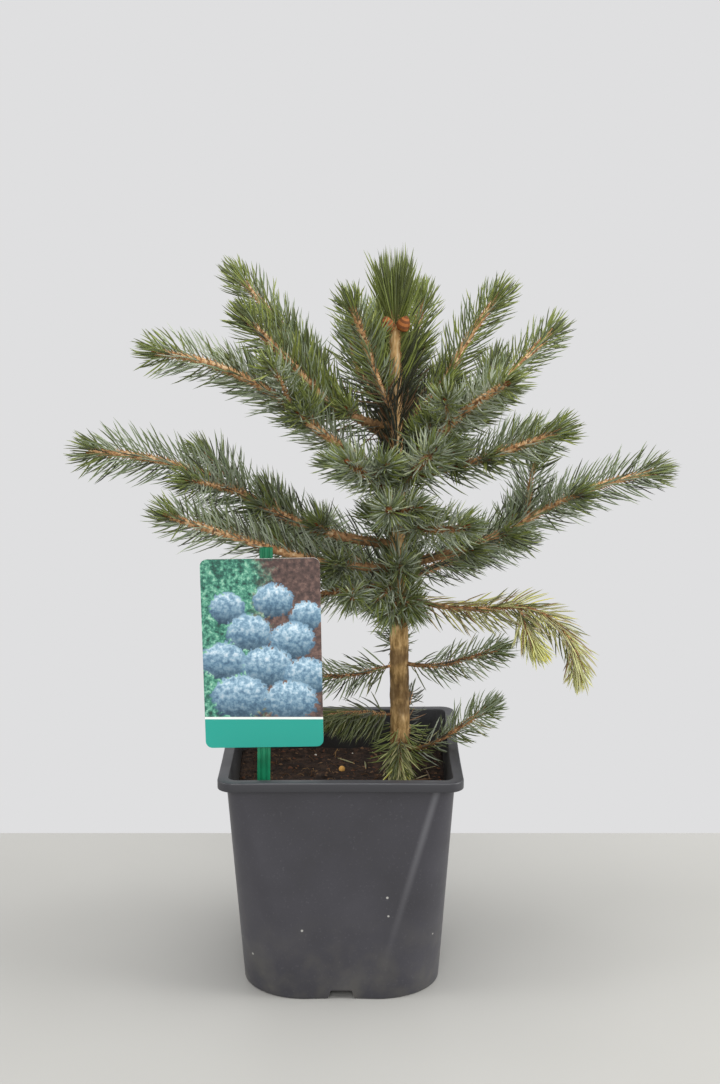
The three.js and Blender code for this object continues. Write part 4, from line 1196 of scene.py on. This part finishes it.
def litter(materials):
    """Crumbs, fibres, fallen needles, perlite and one grain of fertiliser on the peat."""
    random = seeded(LITTER_SEED)
    ground = Heap([*GROUND_TONES, *NEEDLE_TONES, "peg"])
    crumbs = [crumb_shape(seed) for seed in range(4)]
    fibres = [fibre_shape(seed) for seed in range(3)]
    bed = wall_level(SOIL_TOP, WALL)[1]

    def spot(sink, long=2):
        """A place on the peat that is clear of the trunk and half a length clear of the wall."""
        room = bed - 1 - long / 2
        while True:
            x, y = scatter(random, room), scatter(random, room)
            off_trunk = (Vector((x, y)) - Vector(TRUNK_FOOT)).length > FLARE_RADIUS + 1
            past = [max(abs(side) - LITTER_CORNER, 0) for side in (x, y)]
            if off_trunk and math.hypot(*past) < room - LITTER_CORNER:
                return Vector((x, y, peat_height(x, y) - sink))

    def tumbled(size):
        turn = Matrix.Rotation(random() * math.tau, 3, "Z") @ Matrix.Rotation(random() * 3, 3, "X")
        return (turn @ Matrix.Diagonal(size)).to_4x4()

    def lying(size, tilt, rise):
        level = Matrix.Rotation(math.radians(90 + scatter(random, tilt)), 3, "X")
        turn = Matrix.Rotation(random() * math.tau, 3, "Z")
        matrix = (turn @ level @ Matrix.Diagonal(size)).to_4x4()
        matrix.translation = spot(-rise, size[2]) - matrix.col[2].xyz / 2
        return matrix

    count, least, more = CRUMBS
    for _ in range(count):
        size = least + more * random() ** CRUMB_POWER
        wide, middling, low = CRUMB_SIDES
        matrix = tumbled(Vector((wide, middling + scatter(random, CRUMB_VARIES), low)) * size)
        matrix.translation = spot(size * CRUMB_SUNK)
        tone = pick(random, CRUMB_TONES)
        ground.add(pick(random, crumbs), [tone], matrix)
    count, least, more = FIBRES
    for _ in range(count):
        long = least + more * random()
        matrix = lying((long, long, long), *FIBRES_LIE)
        shape = pick(random, fibres)
        ground.add(shape, ["fibre" if random() < PALE_FIBRES_FROM else "fibre_pale"], matrix)
    count, least, more = FALLEN_NEEDLES
    for _ in range(count):
        matrix = lying((*FALLEN_SIDES, least + more * random()), *NEEDLES_LIE)
        tone = pick(random, FALLEN_TONES)
        ground.add(NEEDLES[0], ["peg", tone, DARKER[tone]], matrix)
    count, least, more = PERLITE_BITS
    for _ in range(count):
        matrix = tumbled(Vector(PERLITE_SIDES) * (least + more * random()))
        matrix.translation = spot(PERLITE_SUNK)
        ground.add(crumbs[1], ["perlite"], matrix)
    bm = bmesh.new()
    bmesh.ops.create_icosphere(bm, subdivisions=3, radius=PELLET_RADIUS)
    matrix = Matrix.Translation((*PELLET, peat_height(*PELLET) + PELLET_RADIUS * 0.6))
    ground.add(shape_of(bm), ["pellet"], matrix)
    finish_piece(ground.mesh("peat_litter", materials), ["soil"])


def stand_up(bm, height, lean, foot):
    """Puts the foot of a flat part in its place and leans the part to the side."""
    bmesh.ops.translate(bm, verts=bm.verts, vec=UP * height / 2)
    bmesh.ops.rotate(bm, verts=bm.verts, matrix=Matrix.Rotation(math.radians(lean), 3, "Y"))
    bmesh.ops.translate(bm, verts=bm.verts, vec=foot)


def label_card():
    """The card: cut with round corners, printed on its front, and leaning a little."""
    bm = box_of(CARD_WIDTH, CARD_THICK, CARD_HEIGHT)
    corners = [edge for edge in bm.edges
               if abs(edge.verts[0].co.y - edge.verts[1].co.y) > CARD_THICK / 2]
    bevel(bm, corners, CARD_CORNER, 10)
    for face in bm.faces:
        face.material_index = 0 if face.normal.y < -0.9 else 1
    stand_up(bm, CARD_HEIGHT, CARD_LEAN, (CARD_X, CARD_FRONT_Y + CARD_THICK / 2, CARD_FOOT_Z))
    mesh = mesh_from(bm, "plant_label_card", [label_print(), label_back()], smooth=False)
    finish_piece(mesh, ["label_card"])


def label_stake():
    """The stake: a strip with two grooves down its front and rounded edges."""
    height = STAKE_TOP_Z - STAKE_FOOT_Z
    bm = box_of(STAKE_WIDTH, STAKE_THICK, height)
    uprights = [edge for edge in bm.edges
                if abs(edge.verts[0].co.z - edge.verts[1].co.z) > STAKE_WIDTH]
    bevel(bm, uprights, STAKE_ROUND, 3)
    for middle in (-STAKE_GROOVE, STAKE_GROOVE):
        for off in (-0.5, -0.25, 0.25, 0.5):
            bmesh.ops.bisect_plane(bm, geom=[*bm.verts, *bm.edges, *bm.faces], dist=1e-4,
                                   plane_co=(middle + off * STAKE_GROOVE, 0, 0), plane_no=(1, 0, 0))
    for vert in bm.verts:
        in_groove = abs(abs(vert.co.x) - STAKE_GROOVE) < STAKE_GROOVE * 0.3
        if in_groove and vert.co.y < 0:
            vert.co.y += STAKE_THICK / 4
    behind = CARD_FRONT_Y + CARD_THICK + GAP + STAKE_THICK / 2
    stand_up(bm, height, STAKE_LEAN, (STAKE_X, behind, STAKE_FOOT_Z))
    mesh = mesh_from(bm, "plant_label_stake", [stake_plastic()], smooth=False)
    finish_piece(mesh, ["label_stake"])


# Tree


def trunk_piece():
    """The trunk from the peat to the leader's tip, one ring of ridged bark above another."""
    count = round((LEADER_TIP_Z - TRUNK_START) / TRUNK_STEP)
    heights = [lerp(TRUNK_START, LEADER_TIP_Z, i / count) for i in range(count + 1)]
    radii = [trunk_radius(height) for height in heights]

    def reach(step, skin):
        stretched = Vector((skin.x, skin.y, skin.z * RIDGE_STRETCH))
        knots = KNOT_DEPTH * max(0, noise.noise(skin / KNOT_GRAIN))
        bark = roughness_at(stretched, TRUNK_RIDGES) + knots
        tip = clamp((LEADER_TIP_Z - heights[step]) / LEADER_ROUNDING) ** 0.5
        return radii[step] * lerp(LEADER_BLUNTNESS, 1, tip) + bark * tip

    bm = limb(frames_along([trunk_at(height) for height in heights]), radii, TRUNK_SIDES, reach)
    bmesh.ops.recalc_face_normals(bm, faces=bm.faces)
    finish_piece(mesh_from(bm, "trunk_bark", [trunk_bark()]), ["trunk"])


class Crown:
    """A shoot of the table with its bough, its twigs and the small twigs near its root."""

    def __init__(self, number, row):
        self.name, height, turn, long, rise, swing, self.bare, twigs, habit = row
        self.random = random = seeded(number + 1)
        path = grow_path(trunk_at(height), turn, long, rise, swing)
        root_radius = BOUGH_TIP_RADIUS + long * BOUGH_SWELL if self.bare else THIN_ROOT_RADIUS
        girth = SLIM_GIRTH if habit in SLIM_HABITS else 1
        self.stem = Stem(path, long, root_radius * girth, SHOOT_TIP_RADIUS * girth, habit)
        self.twigs = [self.stem.twig(along * long, aside + scatter(random, TWIG_SCATTER), lift, reach)
                      for along, aside, lift, reach in twigs]
        small = round(long / SMALL_TWIG_STEP)
        for i in range(small if long > BUSHY_LENGTH and habit in BUSHY_HABITS else 0):
            run = long * lerp(SMALL_TWIGS_FROM, SMALL_TWIGS_TO, random())
            aside, lift = (middle + scatter(random, spread)
                           for middle, spread in (SMALL_TWIG_TURN, SMALL_TWIG_LIFT))
            reach = SMALL_TWIG_LENGTH[0] + SMALL_TWIG_LENGTH[1] * random()
            self.twigs.append(self.stem.twig(run, aside * (1 if i % 2 else -1), lift, reach))


def short_shoots():
    """Short shoots straight from the trunk: some among the boughs, then those of the lower whorl."""
    random = seeded(SHORT_SHOOTS_SEED)
    rows = [(lerp(SHORT_SHOOTS_FROM, SHORT_SHOOTS_TO, (i + random()) / SHORT_SHOOTS),
             i * GOLDEN_TURN, *[least + more * random() for least, more in (SHORT_LENGTH, SHORT_RISE)])
            for i in range(SHORT_SHOOTS)]
    return [Stem(grow_path(trunk_at(height), turn, long, (rise, rise, rise)), long,
                 TWIG_RADIUS, TWIG_RADIUS, "dull")
            for height, turn, long, rise in [*rows, *LOW_SHORTS]]


def trunk_stem(low, high, habit):
    """A stretch of the trunk as a stem that bears needles."""
    count = round((high - low) / PATH_STEP)
    points = [trunk_at(lerp(low, high, i / count)) for i in range(count + 1)]
    return Stem(points, high - low, trunk_radius(low), trunk_radius(high), habit)


def add_stem(heap, stem, first=0):
    """A stem's bark from one of its frames to its tip, mottled with the tones of its habit."""
    tones = STEM_TONES[STEM_LIGHT.get(stem.habit, "shaded")].split()
    shape = limb_shape(stem.frames[first:], stem.radii()[first:], STEM_SIDES, STEM_RIDGE, len(tones))
    heap.add(shape, tones)


def bark_pieces(crowns, shorts, materials):
    """The boughs in one piece, and the thinner stems inside the needles in another."""
    boughs, stems = Heap(["bough"]), Heap([*BARK_TONES])
    for crown in crowns:
        stem, cut = crown.stem, 0
        if crown.bare:
            cut = round(crown.bare / stem.long * (len(stem.frames) - 1)) + 1
            frames, radii = stem.frames[:cut + 1], stem.radii()[:cut + 1]
            boughs.add(limb_shape(frames, radii, BOUGH_SIDES, BOUGH_RIDGE), ["bough"])
        add_stem(stems, stem, cut)
        for twig in crown.twigs:
            add_stem(stems, twig)
    for stem in shorts:
        add_stem(stems, stem)
    finish_piece(boughs.mesh("bough_bark", {"bough": bough_bark()}),
                 [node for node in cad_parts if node.startswith("bough_")])
    finish_piece(stems.mesh("shoot_bark", materials))


def set_bud(heap, bud, place, heading, side, width, length):
    """A bud at a place, pointing along a heading."""
    over = side.cross(heading).normalized()
    across = heading.cross(over).normalized()
    matrix = matrix_of(across * width, over * width, heading * length, place)
    heap.add(bud, ("scale", "scale_dark"), matrix)


def needle_pieces(crowns, shorts, materials):
    """All the needles and buds, in pieces that follow the record's slots."""
    heaps = {name: Heap([*NEEDLE_TONES, *BARK_TONES]) for name in NEEDLE_SLOTS}
    nodes = {name: [] for name in NEEDLE_SLOTS}
    bud = bud_shape()
    for crown in crowns:
        kind = next(kind for start, kind in NEEDLE_KINDS if crown.name.startswith(start))
        nodes[kind].append(f"needles_{crown.name}")
        heap, stem, random = heaps[kind], crown.stem, crown.random
        if crown.bare:
            clothe(heap, stem, FIRST_NEEDLE, crown.bare, random, BOUGH_THINNING)
        clothe(heap, stem, crown.bare or FIRST_NEEDLE, stem.long, random)
        for twig in crown.twigs:
            clothe(heap, twig, FIRST_TWIG_NEEDLE, twig.long, random)
        for stem in [crown.stem, *crown.twigs]:
            point, forward, side, _ = stem.at(stem.long)
            width = lerp(*BUD_WIDTHS, random())
            if stem.habit not in SLIM_HABITS and is_free(point + forward * width * 2):
                place = point - forward * BUD_SUNK
                set_bud(heap, bud, place, forward, side, width, width * BUD_SLIMNESS)
    random = seeded(TRUNK_NEEDLES_SEED)
    for i, stem in enumerate(shorts):
        kind = "low" if i >= SHORT_SHOOTS else "wide" if i % 2 else "high"
        clothe(heaps[kind], stem, FIRST_TWIG_NEEDLE, stem.long, random)
    for name, low, high, habit, kind in TRUNK_NEEDLES:
        if name:
            nodes[kind].append(name)
        stem = trunk_stem(low, high, habit)
        clothe(heaps[kind], stem, 0, stem.long, random)
    for turn, out in LEADER_BUDS:
        outward = compass(turn)
        heading = (outward * LEADER_BUD_LEAN + UP).normalized()
        place = trunk_at(LEADER_BUD_Z) + outward * out - heading * LEADER_BUD_LENGTH / 2
        set_bud(heaps["fresh"], bud, place, heading, outward, LEADER_BUD_WIDTH, LEADER_BUD_LENGTH)
    for kind, heap in heaps.items():
        finish_piece(heap.mesh(f"needles_{kind}", materials, smooth=False),
                     nodes[kind])


# Stage, light and camera


def stage_pieces():
    """A pale table that ends behind the pot."""
    bm = box_of(TABLE_WIDTH, TABLE_DEPTH, TABLE_THICK)
    bm.transform(Matrix.Translation((0, TABLE_BACK - TABLE_DEPTH / 2, -TABLE_THICK / 2)))
    add_object(mesh_from(bm, "table", [table_laminate()], smooth=False))


def studio():
    """Large soft lights that the camera doesn't see, and an even pale backdrop."""
    world = bpy.data.worlds.new("pale_studio")
    world.use_nodes = True
    wire(world.node_tree.nodes["Background"], {"Color": BACKDROP, "Strength": 1})
    bpy.context.scene.world = world
    bpy.context.scene.view_settings.view_transform = "Standard"
    for name, place, width, power in LIGHTS:
        light = bpy.data.lights.new(name, "AREA")
        light.shape = "DISK"
        light.size = width
        light.energy = power
        lamp = add_object(light)
        lamp.location = place
        lamp.rotation_euler = (LIT_MIDDLE - Vector(place)).to_track_quat("-Z", "Y").to_euler()
        lamp.visible_camera = False


def camera():
    """The photograph's camera, a little above the plant and looking down at it."""
    data = bpy.data.cameras.new("camera")
    data.lens = LENS
    data.sensor_width = SENSOR_WIDTH
    view = add_object(data)
    view.location = CAMERA_PLACE
    view.rotation_euler = (math.radians(90 - CAMERA_TILT), 0, 0)
    bpy.context.scene.camera = view


camera()
studio()
stage_pieces()
tones = plain_materials()
pot_piece()
peat_bed()
litter(tones)
label_card()
label_stake()
trunk_piece()
crowns = [Crown(number, row) for number, row in enumerate(SHOOTS)]
shorts = short_shoots()
bark_pieces(crowns, shorts, tones)
needle_pieces(crowns, shorts, tones)
